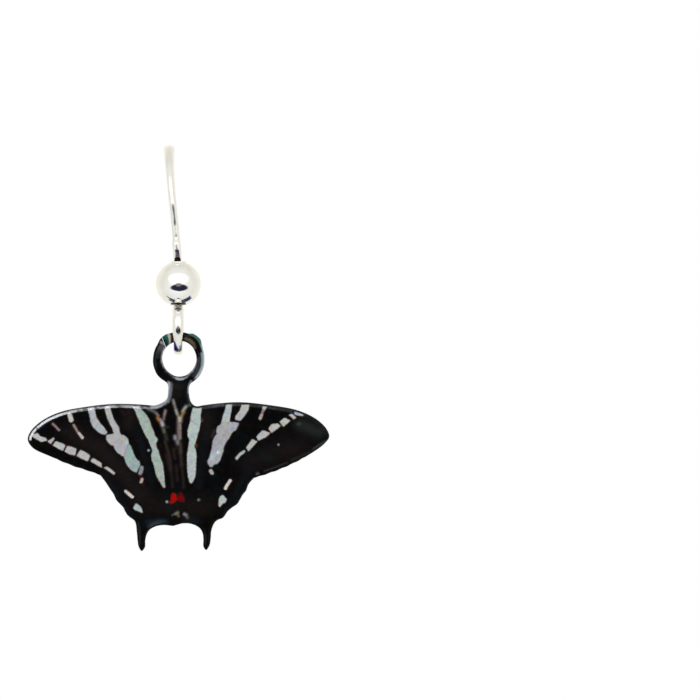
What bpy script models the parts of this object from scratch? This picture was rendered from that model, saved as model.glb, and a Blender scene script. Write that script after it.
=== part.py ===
"""One drop earring: a fish-hook ear wire with a ball bead, and a flat metal
charm in the outline of a long-tailed swallowtail butterfly that hangs from it.

Frame: the origin is the inner top of the hook's bend, where the earring hangs
in the ear. +Z is up, the charm's face looks along -Y, and +X is to the right
of someone who faces it. All sizes below are millimetres.
"""

import math

import bpy
import bmesh
import numpy as np
from mathutils import Vector
from mathutils.geometry import delaunay_2d_cdt

MM = 0.001

# ---- ear wire ------------------------------------------------------------
BEND_RADIUS = 5.0          # centreline radius of the hook's round bend
BEND_HALF_THICK = 0.30     # half the wire's thickness at the top of the bend
WIRE_HALF = 0.295          # half the wire's thickness where it is left round
BEND_HALF_WIDE = 0.47      # the bend is pressed wide: half its width
LEG_Y = -BEND_RADIUS       # the front leg, with the bead and eye on it
LEAN_X = 0.85              # how far the leg leans sideways, top to bead
LEAN_LENGTH = 12.3         # height over which it leans
BELLY = 0.36               # the front leg steps this far forward as it rises
BELLY_Z = (-6.75, -4.72)   # between these heights
BACK_LEG_END_Z = -15.6     # the tip that goes through the ear
FLARE_LENGTH = 3.4         # the tip's outward flare
FLARE_DEG = 17.0
EYE_RADIUS = 1.75          # centreline radius of the eye at the bottom
EYE_BOTTOM_Z = -17.82      # centreline of the eye's lowest point
EYE_SHOULDER = 0.30        # the eye is widest this far above its middle
EYE_NECK_RADIUS = 0.75     # small bend from the shank into the eye
EYE_GAP_DEG = 14.0         # the eye's end stops this short of closing
STOP_TOP_Z = -7.75         # pinched stop that keeps the bead down
STOP_BOTTOM_Z = -9.88
STOP_TAPER = 0.95

# ---- bead ------------------------------------------------------------------
BEAD_RADIUS = 2.03
BEAD_CENTRE = (0.87, LEG_Y, -11.94)
BEAD_HOLE_RADIUS = 0.50
BEAD_LIP_RADIUS = 0.70     # a small collar round each mouth of the hole
BEAD_LIP_Z = 2.02          # the collar's flat end, from the bead's centre

# ---- charm -----------------------------------------------------------------
RING_CENTRE = (0.952, LEG_Y, -18.73)
# The ring is cast a little uneven and is sprung open at its cut: degrees
# anticlockwise from +X, outer radius, inner radius.
RING_RADII = [
    (0, 2.26, 1.54), (20, 2.30, 1.56), (32, 2.42, 1.58), (45, 2.64, 1.62),
    (60, 2.64, 1.65), (72, 2.46, 1.66), (90, 2.46, 1.65), (108, 2.50, 1.61),
    (120, 2.56, 1.60), (128, 2.54, 1.60), (148, 2.38, 1.59), (170, 2.36, 1.55),
    (195, 2.39, 1.50), (215, 2.42, 1.49), (235, 2.36, 1.49), (262, 2.33, 1.54),
    (290, 2.36, 1.54), (318, 2.35, 1.50), (340, 2.29, 1.51),
]
RING_HALF_DEPTH = 0.45     # half the ring's size front to back
RING_CUT_OUTER_DEG = 128.0 # the cut at the outer side, anticlockwise from +X
RING_CUT_INNER_DEG = 139.0 # and at the inner side
RING_CUT_SLANT_DEG = 13.0  # the upper arm's end is sawn aslant by this much
RING_CUT_WIDTH = 0.10
RING_SET_BACK = 0.15       # the upper arm's end is bent back by this
PLATE_HALF_THICK = 0.65
RIM_RADIUS = 0.42          # the plate's rounded edge

# The charm's outline as named landmarks, in millimetres from the ring's
# centre: (outward from the centre line, up). Each line gives the left wing's
# landmark and then the right wing's. A landmark that ends in "*" is a corner.
LANDMARKS = [
    ("neck_top*",        (0.95, -1.95), (0.92, -1.95)),
    ("neck_waist",       (0.99, -2.70), (0.85, -2.75)),
    ("neck_foot",        (1.15, -3.58), (1.02, -3.75)),
    ("shoulder*",        (2.08, -4.17), (1.42, -4.27)),
    ("costa_root",       (3.60, -4.04), (2.30, -4.09)),
    ("costa_inner",      (6.00, -4.00), (5.30, -3.84)),
    ("costa_middle",     (8.41, -4.26), (8.11, -4.10)),
    ("costa_outer",      (10.62, -4.70), (10.63, -4.57)),
    ("apex_upper",       (12.27, -5.46), (12.29, -5.34)),
    ("apex",             (13.34, -6.43), (13.22, -6.22)),
    ("apex_point",       (13.62, -7.22), (13.48, -6.94)),
    ("apex_lower",       (13.14, -7.97), (13.05, -7.57)),
    ("margin_outer",     (11.61, -8.71), (11.54, -8.64)),
    ("margin_middle",    (9.61, -9.55), (9.61, -9.63)),
    ("margin_inner",     (8.02, -10.07), (8.02, -10.25)),
    ("wing_corner*",     (7.09, -10.42), (6.71, -10.66)),
    ("hind_shoulder",    (6.64, -11.01), (6.23, -11.21)),
    ("hind_upper",       (6.27, -11.58), (5.99, -11.81)),
    ("hind_vein_1",      (5.89, -12.14), (5.70, -12.17)),
    ("hind_middle",      (5.67, -12.62), (5.45, -12.62)),
    ("hind_vein_2",      (5.33, -13.00), (5.19, -13.01)),
    ("hind_lobe",        (5.05, -13.29), (4.74, -13.32)),
    ("hind_lower",       (4.86, -13.69), (4.33, -13.68)),
    ("hind_vein_3",      (4.65, -14.00), (4.12, -14.00)),
    ("hind_foot",        (4.38, -14.23), (3.89, -14.26)),
    ("tail_shoulder",    (4.08, -14.44), (3.50, -14.41)),
    ("tail_root_outer",  (3.93, -14.71), (3.20, -14.64)),
    ("tail_outer",       (3.81, -15.64), (2.89, -15.38)),
    ("tail_low_outer",   (3.75, -16.28), (2.83, -16.10)),
    ("tail_tip_outer",   (3.65, -16.84), (2.71, -16.73)),
    ("tail_tip",         (3.38, -17.22), (2.41, -17.13)),
    ("tail_tip_inner",   (3.08, -16.87), (2.17, -16.82)),
    ("tail_low_inner",   (3.05, -16.27), (2.16, -16.20)),
    ("tail_inner",       (2.94, -15.77), (2.11, -15.68)),
    ("tail_root_inner",  (2.69, -15.34), (1.91, -15.26)),
    ("foot_outer",       (2.15, -15.02), (1.48, -14.93)),
    ("foot_middle",      (1.45, -14.89), (0.84, -14.74)),
    ("foot_inner",       (0.55, -14.97), (0.25, -14.74)),
]
SCALLOP_DEPTH = 0.02       # shallow waves along the wings' outer margins
SCALLOP_LENGTH = 1.15
SCALLOPED = ("margin_outer", "margin_middle", "margin_inner", "wing_corner*")

OUTLINE_STEP = 0.34        # length of one facet of the outline
RIM_STEPS = (0.0, 0.055, 0.17, 0.42)   # distances from the edge, one ring each


def smoothstep(t):
    t = min(1.0, max(0.0, t))
    return t * t * (3.0 - 2.0 * t)


def spline(points, step):
    """Points about one step apart along a centripetal curve through points."""
    pts = [np.array(p, float) for p in points]
    if len(pts) == 2:
        n = max(1, int(round(np.linalg.norm(pts[1] - pts[0]) / step)))
        return [pts[0] + (pts[1] - pts[0]) * k / n for k in range(n + 1)]
    ext = [2 * pts[0] - pts[1]] + pts + [2 * pts[-1] - pts[-2]]
    out = []
    for i in range(1, len(ext) - 2):
        p0, p1, p2, p3 = ext[i - 1:i + 3]
        t1 = math.sqrt(np.linalg.norm(p1 - p0))
        t2 = t1 + math.sqrt(np.linalg.norm(p2 - p1))
        t3 = t2 + math.sqrt(np.linalg.norm(p3 - p2))
        n = max(1, int(round(np.linalg.norm(p2 - p1) / step)))
        for k in range(n):
            t = t1 + (t2 - t1) * k / n
            a1 = p0 * (t1 - t) / t1 + p1 * t / t1
            a2 = p1 * (t2 - t) / (t2 - t1) + p2 * (t - t1) / (t2 - t1)
            a3 = p2 * (t3 - t) / (t3 - t2) + p3 * (t - t2) / (t3 - t2)
            b1 = a1 * (t2 - t) / t2 + a2 * t / t2
            b2 = a2 * (t3 - t) / (t3 - t1) + a3 * (t - t1) / (t3 - t1)
            out.append(b1 * (t2 - t) / (t2 - t1) + b2 * (t - t1) / (t2 - t1))
    out.append(pts[-1])
    return out


def wing_side(side, step):
    """The outline of one wing from the neck to the foot, with its scallops."""
    out, run, run_names = [], [], []
    for name, left, right in LANDMARKS:
        u, z = left if side < 0 else right
        run.append((side * u, z))
        run_names.append(name)
        if (name.endswith("*") and len(run) > 1) or name == LANDMARKS[-1][0]:
            piece = spline(run, step)
            if sum(n in SCALLOPED for n in run_names) >= 2:
                piece = scalloped(piece, run, run_names, side)
            out += piece if not out else piece[1:]
            run, run_names = [run[-1]], [run_names[-1]]
    return out


def scalloped(piece, run, names, side):
    """Waves along the stretch of a curve that lies on the outer margins."""
    marks = [np.array(p) for p, n in zip(run, names) if n in SCALLOPED]
    start = min(range(len(piece)), key=lambda i: np.linalg.norm(piece[i] - marks[0]))
    stop = min(range(len(piece)), key=lambda i: np.linalg.norm(piece[i] - marks[-1]))
    length = sum(np.linalg.norm(piece[i + 1] - piece[i]) for i in range(start, stop))
    waves = max(1, round(length / SCALLOP_LENGTH))
    out, s = [p.copy() for p in piece], 0.0
    for i in range(start + 1, stop):
        s += np.linalg.norm(piece[i] - piece[i - 1])
        along = piece[i + 1] - piece[i - 1]
        along /= np.linalg.norm(along)
        outward = np.array((along[1], -along[0])) * (1 if side > 0 else -1)
        ease = smoothstep(min(s, length - s) / (0.5 * SCALLOP_LENGTH))
        depth = SCALLOP_DEPTH * ease * math.cos(2 * math.pi * waves * s / length)
        out[i] = piece[i] - outward * depth
    return out


def charm_outline(step):
    """The closed outline, anticlockwise seen from the front (x right, z up)."""
    left = wing_side(-1, step)
    right = wing_side(1, step)
    foot = spline([left[-1], right[-1]], step)[1:-1]
    top = spline([right[0], left[0]], step)[1:-1]
    loop = left + foot + right[::-1] + top
    return np.array(loop)


def edge_distance(points, loop):
    """Distance from each point to the closed outline."""
    a = loop
    b = np.roll(loop, -1, axis=0)
    d = b - a
    best = np.full(len(points), 1e9)
    for k in range(len(a)):
        t = ((points - a[k]) @ d[k]) / (d[k] @ d[k])
        t = np.clip(t, 0.0, 1.0)[:, None]
        best = np.minimum(best, np.linalg.norm(points - (a[k] + t * d[k]), axis=1))
    return best


def rim_height(distance):
    """Half the plate's thickness at a distance from its edge."""
    r = RIM_RADIUS
    land = PLATE_HALF_THICK - r
    t = np.clip(distance / r, 0.0, 1.0)
    round_part = np.sqrt(np.maximum(0.0, 1.0 - (1.0 - t) ** 2))
    return (land + r) * round_part


def inset_points(loop, distance):
    """Points at one distance inside the outline, where it is wide enough."""
    ahead = np.roll(loop, -1, axis=0) - loop
    behind = loop - np.roll(loop, 1, axis=0)
    ahead /= np.linalg.norm(ahead, axis=1)[:, None]
    behind /= np.linalg.norm(behind, axis=1)[:, None]
    along = ahead + behind
    along /= np.linalg.norm(along, axis=1)[:, None]
    inward = np.stack((-along[:, 1], along[:, 0]), axis=1)
    moved = loop + inward * distance
    real = edge_distance(moved, loop)
    return moved[real > 0.93 * distance]


def plate_mesh(step):
    """The flat plate with its rounded rim, front and back alike."""
    loop = charm_outline(step)
    n = len(loop)
    points = [tuple(p) for p in loop]
    for distance in RIM_STEPS[1:]:
        kept = inset_points(loop, distance)
        last = None
        for p in kept:
            if last is None or np.linalg.norm(p - last) > 0.45 * step:
                points.append(tuple(p))
                last = p
    flat = [Vector(p) for p in points]
    edges = [(i, (i + 1) % n) for i in range(n)]
    verts, _, faces, orig, _, _ = delaunay_2d_cdt(flat, edges, [], 1, 1e-5)
    pts = np.array([tuple(v) for v in verts])
    on_edge = edge_distance(pts, loop) < 1e-4
    height = rim_height(edge_distance(pts, loop))
    bm = bmesh.new()
    front, back = [], []
    for p, h, e in zip(pts, height, on_edge):
        x, z = RING_CENTRE[0] + p[0], RING_CENTRE[2] + p[1]
        y = RING_CENTRE[1]
        f = bm.verts.new((x * MM, (y - (0 if e else h)) * MM, z * MM))
        front.append(f)
        back.append(f if e else bm.verts.new((x * MM, (y + h) * MM, z * MM)))
    for face in faces:
        mid = pts[list(face)].mean(axis=0)
        if not inside(mid, loop):
            continue
        bm.faces.new([front[i] for i in face])
        bm.faces.new([back[i] for i in reversed(face)])
    loose = [v for v in bm.verts if not v.link_faces]
    bmesh.ops.delete(bm, geom=loose, context='VERTS')
    bmesh.ops.recalc_face_normals(bm, faces=bm.faces)
    return bm


def inside(point, loop):
    x, z = point
    hit = False
    for (x1, z1), (x2, z2) in zip(loop, np.roll(loop, -1, axis=0)):
        if (z1 > z) != (z2 > z) and x < (x2 - x1) * (z - z1) / (z2 - z1) + x1:
            hit = not hit
    return hit


def sweep(path, frames, sizes, sides, power=2.0):
    """A closed tube: section sizes[i] across frames[i] at each path point.
    power 2 gives an ellipse, and more a rounded rectangle."""
    bm = bmesh.new()
    rings = []
    for p, (across, up), (a, b) in zip(path, frames, sizes):
        ring = []
        for k in range(sides):
            t = 2 * math.pi * (k + 0.5) / sides
            c, s = math.cos(t), math.sin(t)
            u = a * math.copysign(abs(c) ** (2 / power), c)
            v = b * math.copysign(abs(s) ** (2 / power), s)
            ring.append(bm.verts.new((p + across * u + up * v) * MM))
        rings.append(ring)
    for r1, r2 in zip(rings, rings[1:]):
        for k in range(sides):
            m = (k + 1) % sides
            bm.faces.new((r1[k], r1[m], r2[m], r2[k]))
    bm.faces.new(rings[0][::-1])
    bm.faces.new(rings[-1])
    bmesh.ops.recalc_face_normals(bm, faces=bm.faces)
    return bm


def ring_radii(deg):
    """The ring's outer and inner radius at an angle, eased between the rows."""
    deg = deg % 360.0
    rows = RING_RADII + [(360 + RING_RADII[0][0],) + RING_RADII[0][1:]]
    for (d1, o1, i1), (d2, o2, i2) in zip(rows, rows[1:]):
        if d1 <= deg <= d2:
            t = smoothstep((deg - d1) / (d2 - d1))
            return o1 + (o2 - o1) * t, i1 + (i2 - i1) * t
    return RING_RADII[0][1:]


def ring_mesh(steps=46, sides=12):
    """The charm's ring: sawn at the upper left, the upper arm's end set back.
    Its end sections lean to the saw cut's plane."""
    half_gap = math.degrees(0.5 * RING_CUT_WIDTH / ring_radii(RING_CUT_INNER_DEG)[1])
    middle = 0.5 * (RING_CUT_OUTER_DEG + RING_CUT_INNER_DEG)
    lean_deg = RING_CUT_INNER_DEG - RING_CUT_OUTER_DEG
    start, stop = middle + half_gap, middle + 360.0 - half_gap
    bm = bmesh.new()
    rings = []
    for k in range(steps + 1):
        base = start + (stop - start) * k / steps
        near = smoothstep(1.0 - min(base - start, stop - base) / 40.0)
        slant = smoothstep(1.0 - (stop - base) / 30.0)
        ring = []
        for j in range(sides):
            t = 2 * math.pi * (j + 0.5) / sides
            c, v = math.cos(t), math.sin(t)
            c = math.copysign(abs(c) ** (2 / 2.6), c)
            v = math.copysign(abs(v) ** (2 / 2.6), v)
            deg = base - 0.5 * lean_deg * c * near + 0.5 * RING_CUT_SLANT_DEG * (v - 1.0) * slant
            outer, inner = ring_radii(deg)
            r = 0.5 * (outer + inner) + 0.5 * (outer - inner) * c
            arm = smoothstep((deg - 400.0) / (stop - 400.0)) if deg > 360.0 else 0.0
            a = math.radians(deg)
            ring.append(bm.verts.new(Vector((
                RING_CENTRE[0] + r * math.cos(a),
                RING_CENTRE[1] + RING_HALF_DEPTH * v + RING_SET_BACK * arm,
                RING_CENTRE[2] + r * math.sin(a))) * MM))
        rings.append(ring)
    for r1, r2 in zip(rings, rings[1:]):
        for j in range(sides):
            m = (j + 1) % sides
            bm.faces.new((r1[j], r1[m], r2[m], r2[j]))
    bm.faces.new(rings[0][::-1])
    bm.faces.new(rings[-1])
    bmesh.ops.recalc_face_normals(bm, faces=bm.faces)
    return bm


def wire_path():
    """(y, z, how far round) of the wire's centreline, from the eye's end up
    the shank, over the bend and down to the tip that goes through the ear."""
    pts = []
    eye_z = EYE_BOTTOM_Z + EYE_RADIUS
    rho, r = EYE_NECK_RADIUS, EYE_RADIUS
    meet = math.asin(rho / (r + rho))
    shank_foot = eye_z + (r + rho) * math.cos(meet)
    # the eye, from its free end behind the shank, under and up in front
    first, last = math.radians(EYE_GAP_DEG), 2 * math.pi - meet
    n = 34
    for k in range(n + 1):
        a = first + (last - first) * k / n
        pts.append((LEG_Y + r * math.sin(a),
                    eye_z + r * math.cos(a) + EYE_SHOULDER * math.sin(a) ** 2, "eye", k / n))
    # the small bend into the shank
    for k in range(1, 6):
        h = meet + (math.pi / 2 - meet) * k / 5
        pts.append((LEG_Y - rho * (1 - math.sin(h)), shank_foot - rho * math.cos(h),
                    "neck", k / 5))
    # the shank and front leg
    bend_z = BEND_HALF_THICK - BEND_RADIUS
    n = 34
    for k in range(1, n + 1):
        z = shank_foot + (bend_z - shank_foot) * k / n
        pts.append((LEG_Y - belly(z), z, "leg", k / n))
    # the bend
    n = 20
    for k in range(1, n + 1):
        a = math.pi * k / n
        forward = BELLY * (1.0 + math.cos(a)) / 2
        pts.append((LEG_Y * math.cos(a) - forward,
                    bend_z + BEND_RADIUS * math.sin(a), "bend", k / n))
    # the back leg and its flare
    flare_z = BACK_LEG_END_Z + FLARE_LENGTH
    n = 10
    for k in range(1, n + 1):
        pts.append((-LEG_Y, bend_z + (flare_z - bend_z) * k / n, "back", k / n))
    sweep_angle = math.radians(FLARE_DEG)
    radius = FLARE_LENGTH / math.sin(sweep_angle)
    n = 6
    for k in range(1, n + 1):
        a = sweep_angle * k / n
        pts.append((-LEG_Y + radius * (1 - math.cos(a)),
                    flare_z - radius * math.sin(a), "flare", k / n))
    return pts


def lean(z):
    """Sideways offset of the wire at a height: the hook leans a little."""
    return LEAN_X * smoothstep((0.6 - z) / LEAN_LENGTH)


def belly(z):
    """How far the front leg stands forward at a height."""
    return BELLY * smoothstep((z - BELLY_Z[0]) / (BELLY_Z[1] - BELLY_Z[0]))


def wire_size(part, t, z):
    """Half width across the hook's plane, and half thickness in it."""
    if part == "eye":
        # pressed wider where the front strand meets the shank
        wide = 0.38 + 0.12 * smoothstep((t - 0.64) / 0.12)
        deep = 0.36 + 0.10 * math.exp(-((t - 0.46) / 0.16) ** 2)
        return wide, deep
    if part == "neck":
        return 0.50 - 0.07 * smoothstep(1.6 * t), 0.37
    if part == "leg":
        # narrower from the bead's hole up
        foot = smoothstep((-12.9 - z) / 0.7)
        # the stop swells over its lower end's long taper and ends in a shoulder
        off = smoothstep((STOP_TOP_Z - z) / 0.6)
        deep_stop = min(1.0, max(0.0, (z - STOP_BOTTOM_Z) / STOP_TAPER)) * off
        wide_stop = smoothstep((z - STOP_BOTTOM_Z) / 0.25) * off
        wide = WIRE_HALF + 0.13 * foot + 0.09 * wide_stop
        deep = WIRE_HALF + 0.07 * foot + 0.29 * deep_stop
        return wide, deep
    if part == "bend":
        rise = math.sin(math.pi * t)
        wide = WIRE_HALF + (BEND_HALF_WIDE - WIRE_HALF) * rise ** 2.2
        return wide, WIRE_HALF + (BEND_HALF_THICK - WIRE_HALF) * rise
    end = 1.0 if part == "back" or t < 0.99 else 0.55
    return WIRE_HALF * end, WIRE_HALF * end


def wire_mesh():
    points, frames, sizes = [], [], []
    raw = wire_path()
    for y, z, part, t in raw:
        points.append(Vector((lean(z), y, z)))
        sizes.append(wire_size(part, t, z))
    for i, p in enumerate(points):
        along = points[min(i + 1, len(points) - 1)] - points[max(i - 1, 0)]
        along.normalize()
        across = Vector((1, 0, 0))
        across = (across - along * across.dot(along)).normalized()
        frames.append((across, along.cross(across)))
    return sweep(points, frames, sizes, 12)


def bead_mesh(segments=40, rings=20):
    """A ball with a hole along Z and a small collar round each mouth: its
    outline is turned round the axis."""
    lip = BEAD_LIP_RADIUS
    lip_foot = math.sqrt(BEAD_RADIUS ** 2 - lip ** 2)
    top = math.asin(lip_foot / BEAD_RADIUS)
    end = [(BEAD_HOLE_RADIUS, BEAD_LIP_Z - 0.08), (BEAD_HOLE_RADIUS + 0.06, BEAD_LIP_Z),
           (lip - 0.05, BEAD_LIP_Z)]
    profile = list(end)
    for k in range(rings + 1):
        a = top - 2 * top * k / rings
        profile.append((BEAD_RADIUS * math.cos(a), BEAD_RADIUS * math.sin(a)))
    profile += [(r, -z) for r, z in end[::-1]]
    bm = bmesh.new()
    columns = []
    for s in range(segments):
        a = 2 * math.pi * s / segments
        columns.append([bm.verts.new((r * math.cos(a) * MM, r * math.sin(a) * MM, z * MM))
                        for r, z in profile])
    m = len(profile)
    for s in range(segments):
        c1, c2 = columns[s], columns[(s + 1) % segments]
        for k in range(m):
            j = (k + 1) % m
            bm.faces.new((c1[k], c1[j], c2[j], c2[k]))
    bmesh.ops.recalc_face_normals(bm, faces=bm.faces)
    return bm


def material(name, colour, metallic, roughness):
    mat = bpy.data.materials.new(name)
    mat.use_nodes = True
    shader = mat.node_tree.nodes["Principled BSDF"]
    shader.inputs["Base Color"].default_value = (*colour, 1.0)
    shader.inputs["Metallic"].default_value = metallic
    shader.inputs["Roughness"].default_value = roughness
    return mat


def make_object(name, bm, mat, origin, parent=None):
    """An object with its origin at the given point, in millimetres."""
    shift = Vector(origin) * MM
    bmesh.ops.translate(bm, verts=bm.verts, vec=-shift)
    mesh = bpy.data.meshes.new(name)
    bm.to_mesh(mesh)
    bm.free()
    mesh.materials.append(mat)
    mesh.shade_smooth()
    mesh.set_sharp_from_angle(angle=math.radians(40))
    obj = bpy.data.objects.new(name, mesh)
    bpy.context.scene.collection.objects.link(obj)
    if parent is not None:
        obj.parent = parent
        obj.location = shift - parent.location
    else:
        obj.location = shift
    return obj


def union(target, other):
    """Joins the other object to the target as one body, and drops it."""
    mod = target.modifiers.new("join", 'BOOLEAN')
    mod.operation = 'UNION'
    mod.solver = 'EXACT'
    mod.object = other
    bpy.context.view_layer.update()
    graph = bpy.context.evaluated_depsgraph_get()
    mesh = bpy.data.meshes.new_from_object(target.evaluated_get(graph))
    target.modifiers.clear()
    target.data = mesh
    bpy.data.objects.remove(other)


def main():
    for obj in list(bpy.data.objects):
        bpy.data.objects.remove(obj)

    silver = material("polished_silver", (0.86, 0.85, 0.83), 1.0, 0.12)
    black = material("black_coated_metal", (0.012, 0.011, 0.012), 0.35, 0.22)

    hang_point = bpy.data.objects.new("hang_point", None)
    bpy.context.scene.collection.objects.link(hang_point)
    swing_axis = bpy.data.objects.new("charm_swing_axis", None)
    bpy.context.scene.collection.objects.link(swing_axis)
    swing_axis.location = Vector((lean(EYE_BOTTOM_Z), LEG_Y, EYE_BOTTOM_Z)) * MM
    swing_axis.parent = hang_point
    bpy.context.view_layer.update()

    make_object("ear_wire", wire_mesh(), silver, (0, 0, 0), hang_point)

    bead = make_object("bead", bead_mesh(), silver, (0, 0, 0))
    bead.location = Vector(BEAD_CENTRE) * MM
    bead.parent = hang_point

    pivot = (lean(EYE_BOTTOM_Z), LEG_Y, EYE_BOTTOM_Z)
    charm = make_object("charm", plate_mesh(OUTLINE_STEP), black, pivot)
    ring = make_object("charm_ring_blank", ring_mesh(), black, pivot)
    union(charm, ring)
    charm.parent = swing_axis
    charm.location = (0, 0, 0)
    charm.data.shade_smooth()
    charm.data.set_sharp_from_angle(angle=math.radians(40))


main()
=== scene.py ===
"""The looks of one drop earring: polished ear wire and ball bead, and a black
coated butterfly charm with pale printed stripes. Sizes are millimetres, turned
into metres where meshes are made. +Z is up, and the charm's face looks
along -Y.
"""
import math

import bpy
import numpy as np
from mathutils import Matrix, Vector
from mathutils.geometry import delaunay_2d_cdt


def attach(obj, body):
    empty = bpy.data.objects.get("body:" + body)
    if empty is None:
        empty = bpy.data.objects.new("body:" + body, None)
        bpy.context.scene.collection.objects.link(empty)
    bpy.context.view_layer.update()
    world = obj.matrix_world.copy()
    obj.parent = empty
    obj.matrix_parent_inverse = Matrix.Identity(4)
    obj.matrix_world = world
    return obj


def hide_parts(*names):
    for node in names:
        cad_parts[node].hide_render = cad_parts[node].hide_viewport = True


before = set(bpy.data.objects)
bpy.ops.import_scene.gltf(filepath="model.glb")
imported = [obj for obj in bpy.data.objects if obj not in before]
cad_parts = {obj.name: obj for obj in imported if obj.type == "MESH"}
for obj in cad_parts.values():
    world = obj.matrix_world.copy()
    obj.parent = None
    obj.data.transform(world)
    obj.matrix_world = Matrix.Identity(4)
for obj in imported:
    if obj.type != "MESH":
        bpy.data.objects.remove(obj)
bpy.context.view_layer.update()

MM = 0.001

# ---- sizes shared with the construction ------------------------------------
BEND_RADIUS = 5.0
BEND_HALF_THICK = 0.30
WIRE_HALF = 0.295
BEND_HALF_WIDE = 0.47
LEG_Y = -BEND_RADIUS
LEAN_X = 0.85
LEAN_LENGTH = 12.3
BELLY = 0.36
BELLY_Z = (-6.75, -4.72)
BACK_LEG_END_Z = -15.6
FLARE_LENGTH = 3.4
FLARE_DEG = 17.0
EYE_RADIUS = 1.75
EYE_BOTTOM_Z = -17.82
EYE_SHOULDER = 0.30
EYE_NECK_RADIUS = 0.75
EYE_GAP_DEG = 14.0
STOP_TOP_Z = -7.75
STOP_BOTTOM_Z = -9.88
STOP_TAPER = 0.95

BEAD_RADIUS = 2.03
BEAD_CENTRE = (0.87, LEG_Y, -11.94)
BEAD_HOLE_RADIUS = 0.50
BEAD_LIP_RADIUS = 0.70
BEAD_LIP_Z = 2.02

RING_CENTRE = (0.952, LEG_Y, -18.73)
# the ring's degrees anticlockwise from +X, outer radius, inner radius
RING_RADII = [
    (0, 2.26, 1.54), (20, 2.30, 1.56), (32, 2.42, 1.58), (45, 2.64, 1.62),
    (60, 2.64, 1.65), (72, 2.46, 1.66), (90, 2.46, 1.65), (108, 2.50, 1.61),
    (120, 2.56, 1.60), (128, 2.54, 1.60), (148, 2.38, 1.59), (170, 2.36, 1.55),
    (195, 2.39, 1.50), (215, 2.42, 1.49), (235, 2.36, 1.49), (262, 2.33, 1.54),
    (290, 2.36, 1.54), (318, 2.35, 1.50), (340, 2.29, 1.51),
]
RING_HALF_DEPTH = 0.45
RING_CUT_OUTER_DEG = 128.0
RING_CUT_INNER_DEG = 139.0
RING_CUT_SLANT_DEG = 13.0
RING_CUT_WIDTH = 0.035     # the cut as seen: nearly closed
RING_CUT_REACH = 0.30      # the aslant end runs back to this depth
RING_SET_BACK = 0.15
PLATE_HALF_THICK = 0.65
RIM_WALL = 0.18            # the plate's edge: half its upright wall
RIM_ARC = 0.32             # radius of the arc above the wall
RIM_SLOPE_DEG = 32.0       # the sloping land inside the arc
CUT_BEVEL = 0.05           # the sawn ends' broken edges

# clear gloss on the upper rims, by how far across (in the marks' grid units)
RIM_SHINE = [(28, 1.0), (58, 1.0), (68, 0.72), (96, 0.56), (134, 0.50), (141, 0.34),
             (158, 0.22), (164, 0.14), (167, 0.08), (172, 0.03), (196, 0.02), (205, 0.035),
             (226, 0.035), (236, 0.02), (330, 0.03)]

# The charm's outline: (outward from the centre line, up) from the ring's
# centre, left wing and right wing. "*" marks a corner.
LANDMARKS = [
    ("neck_top*",        (0.95, -1.95), (0.92, -1.95)),
    ("neck_waist",       (0.99, -2.70), (0.85, -2.75)),
    ("neck_foot",        (1.15, -3.58), (1.02, -3.75)),
    ("shoulder*",        (2.08, -4.17), (1.42, -4.27)),
    ("costa_root",       (3.60, -4.04), (2.30, -4.09)),
    ("costa_inner",      (6.00, -4.00), (5.30, -3.84)),
    ("costa_middle",     (8.41, -4.26), (8.11, -4.10)),
    ("costa_outer",      (10.62, -4.70), (10.63, -4.57)),
    ("apex_upper",       (12.27, -5.46), (12.29, -5.34)),
    ("apex",             (13.34, -6.43), (13.22, -6.22)),
    ("apex_point",       (13.62, -7.22), (13.48, -6.94)),
    ("apex_lower",       (13.14, -7.97), (13.05, -7.57)),
    ("margin_outer",     (11.61, -8.71), (11.54, -8.64)),
    ("margin_middle",    (9.61, -9.55), (9.61, -9.63)),
    ("margin_inner",     (8.02, -10.07), (8.02, -10.25)),
    ("wing_corner*",     (7.09, -10.42), (6.71, -10.66)),
    ("hind_shoulder",    (6.64, -11.01), (6.23, -11.21)),
    ("hind_upper",       (6.27, -11.58), (5.99, -11.81)),
    ("hind_vein_1",      (5.89, -12.14), (5.70, -12.17)),
    ("hind_middle",      (5.67, -12.62), (5.45, -12.62)),
    ("hind_vein_2",      (5.33, -13.00), (5.19, -13.01)),
    ("hind_lobe",        (5.05, -13.29), (4.74, -13.32)),
    ("hind_lower",       (4.86, -13.69), (4.33, -13.68)),
    ("hind_vein_3",      (4.65, -14.00), (4.12, -14.00)),
    ("hind_foot",        (4.38, -14.23), (3.89, -14.26)),
    ("tail_shoulder",    (4.08, -14.44), (3.50, -14.41)),
    ("tail_root_outer",  (3.93, -14.71), (3.20, -14.64)),
    ("tail_outer",       (3.81, -15.64), (2.89, -15.38)),
    ("tail_low_outer",   (3.75, -16.28), (2.83, -16.10)),
    ("tail_tip_outer",   (3.65, -16.84), (2.71, -16.73)),
    ("tail_tip",         (3.38, -17.22), (2.41, -17.13)),
    ("tail_tip_inner",   (3.08, -16.87), (2.17, -16.82)),
    ("tail_low_inner",   (3.05, -16.27), (2.16, -16.20)),
    ("tail_inner",       (2.94, -15.77), (2.11, -15.68)),
    ("tail_root_inner",  (2.69, -15.34), (1.91, -15.26)),
    ("foot_outer",       (2.15, -15.02), (1.48, -14.93)),
    ("foot_middle",      (1.45, -14.89), (0.84, -14.74)),
    ("foot_inner",       (0.55, -14.97), (0.25, -14.74)),
]
SCALLOP_DEPTH = 0.02
SCALLOP_LENGTH = 1.15
SCALLOPED = ("margin_outer", "margin_middle", "margin_inner", "wing_corner*")

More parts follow.
